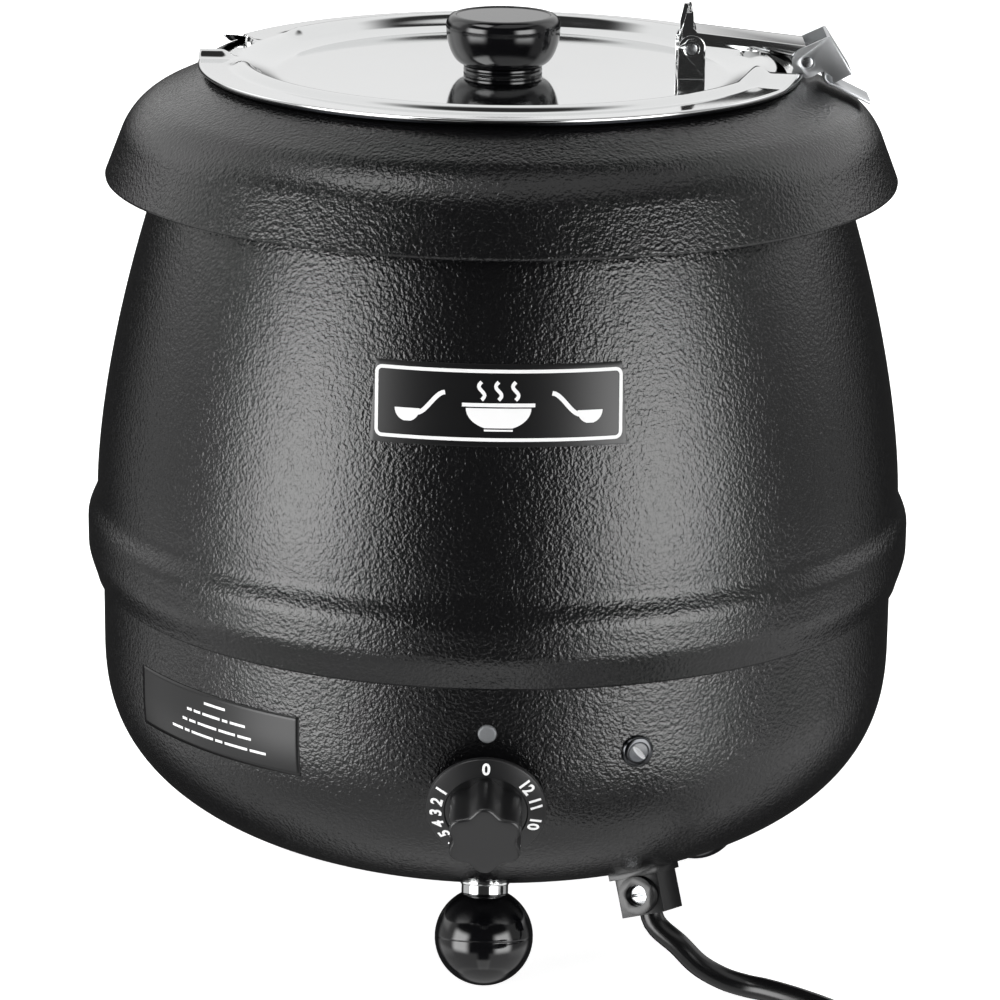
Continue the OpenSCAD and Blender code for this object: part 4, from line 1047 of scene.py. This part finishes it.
# ---- everything else keeps the CAD's shape and gets its real finish ----
for part in frame["record"]["subparts"]:
    node = frame["nodes"][part["node"]]
    for slot in node.material_slots:
        slot.material = BY_SLOT[part["material_slot"]]

# ---- floor, world and lamps ----


def make_floor():
    """A pale floor that glows almost white, so that it shows no edge and only the softest shadow."""
    material, _, shader = finish_of("pale studio floor", "F4F4F4", Roughness=0.9)
    shader.inputs["Emission Color"].default_value = (1, 1, 1, 1)
    shader.inputs["Emission Strength"].default_value = 0.85
    mesh = bpy.data.meshes.new("floor")
    mesh.from_pydata([(-8, -8, 0), (8, -8, 0), (8, 8, 0), (-8, 8, 0)], [], [(0, 1, 2, 3)])
    mesh.materials.append(material)
    floor = linked("floor", mesh)
    floor.visible_glossy = False


def make_world():
    """A dark studio with a bright wall behind the object and a tall soft box to each side of the camera."""
    world = bpy.data.worlds.new("studio")
    bpy.context.scene.world = world
    world.use_nodes = True
    tree = world.node_tree
    ray = add(tree, "ShaderNodeTexCoord").outputs["Generated"]
    xyz = add(tree, "ShaderNodeSeparateXYZ", {0: ray})
    around = calc(tree, "ARCTAN2", xyz.outputs["X"], calc(tree, "MULTIPLY", xyz.outputs["Y"], -1))
    height = calc(tree, "ARCSINE", xyz.outputs["Z"])

    def slope(value, start, end):
        return add(tree, "ShaderNodeMapRange", {0: value, 1: start, 2: end},
                   interpolation_type="SMOOTHSTEP").outputs[0]

    def window(value, low, high, soft):
        """1 from low to high degrees, with soft edges, and 0 elsewhere."""
        return calc(tree, "MULTIPLY", slope(value, rad(low - soft), rad(low + soft)),
                    slope(value, rad(high + soft), rad(high - soft)))

    behind = slope(xyz.outputs["Y"], 0.0, 0.25)
    wall = calc(tree, "MULTIPLY", behind, window(height, 6, 60, 6))
    total = calc(tree, "MULTIPLY_ADD", wall, WALL_LIGHT, ROOM_LIGHT)
    for low, high, soft, bottom, top, edge, power in BOXES:
        lit = calc(tree, "MULTIPLY", window(around, low, high, soft), window(height, bottom, top, edge))
        total = calc(tree, "MULTIPLY_ADD", lit, power, total)
    tree.links.new(total, tree.nodes["Background"].inputs["Color"])


# each soft box: its sides as degrees round from the camera and their softness, its bottom and top as
# degrees up and their softness, and its light
BOXES = [(-75, -38, 8, -20, 20, 6, 7.0), (27, 64, 8, -20, 20, 6, 6.4),
         (-128, -78, 8, -30, 42, 8, 0.55), (64, 126, 8, -30, 42, 8, 0.36),
         (-120, -14, 6, -62, -20, 4, 0.6), (14, 120, 6, -62, -20, 4, 0.7), (-190, 190, 1, -95, -60, 6, 0.6),
         (-16, 16, 5, -62, -36, 4, 1.0),
         (-88, -38, 6, 46, 70, 4, 4.2), (-30, 100, 10, 48, 92, 6, 0.75)]
WALL_LIGHT, ROOM_LIGHT = 0.92, 0.03
make_floor()
make_world()
view = bpy.context.scene.view_settings
view.view_transform, view.look = "Standard", "None"
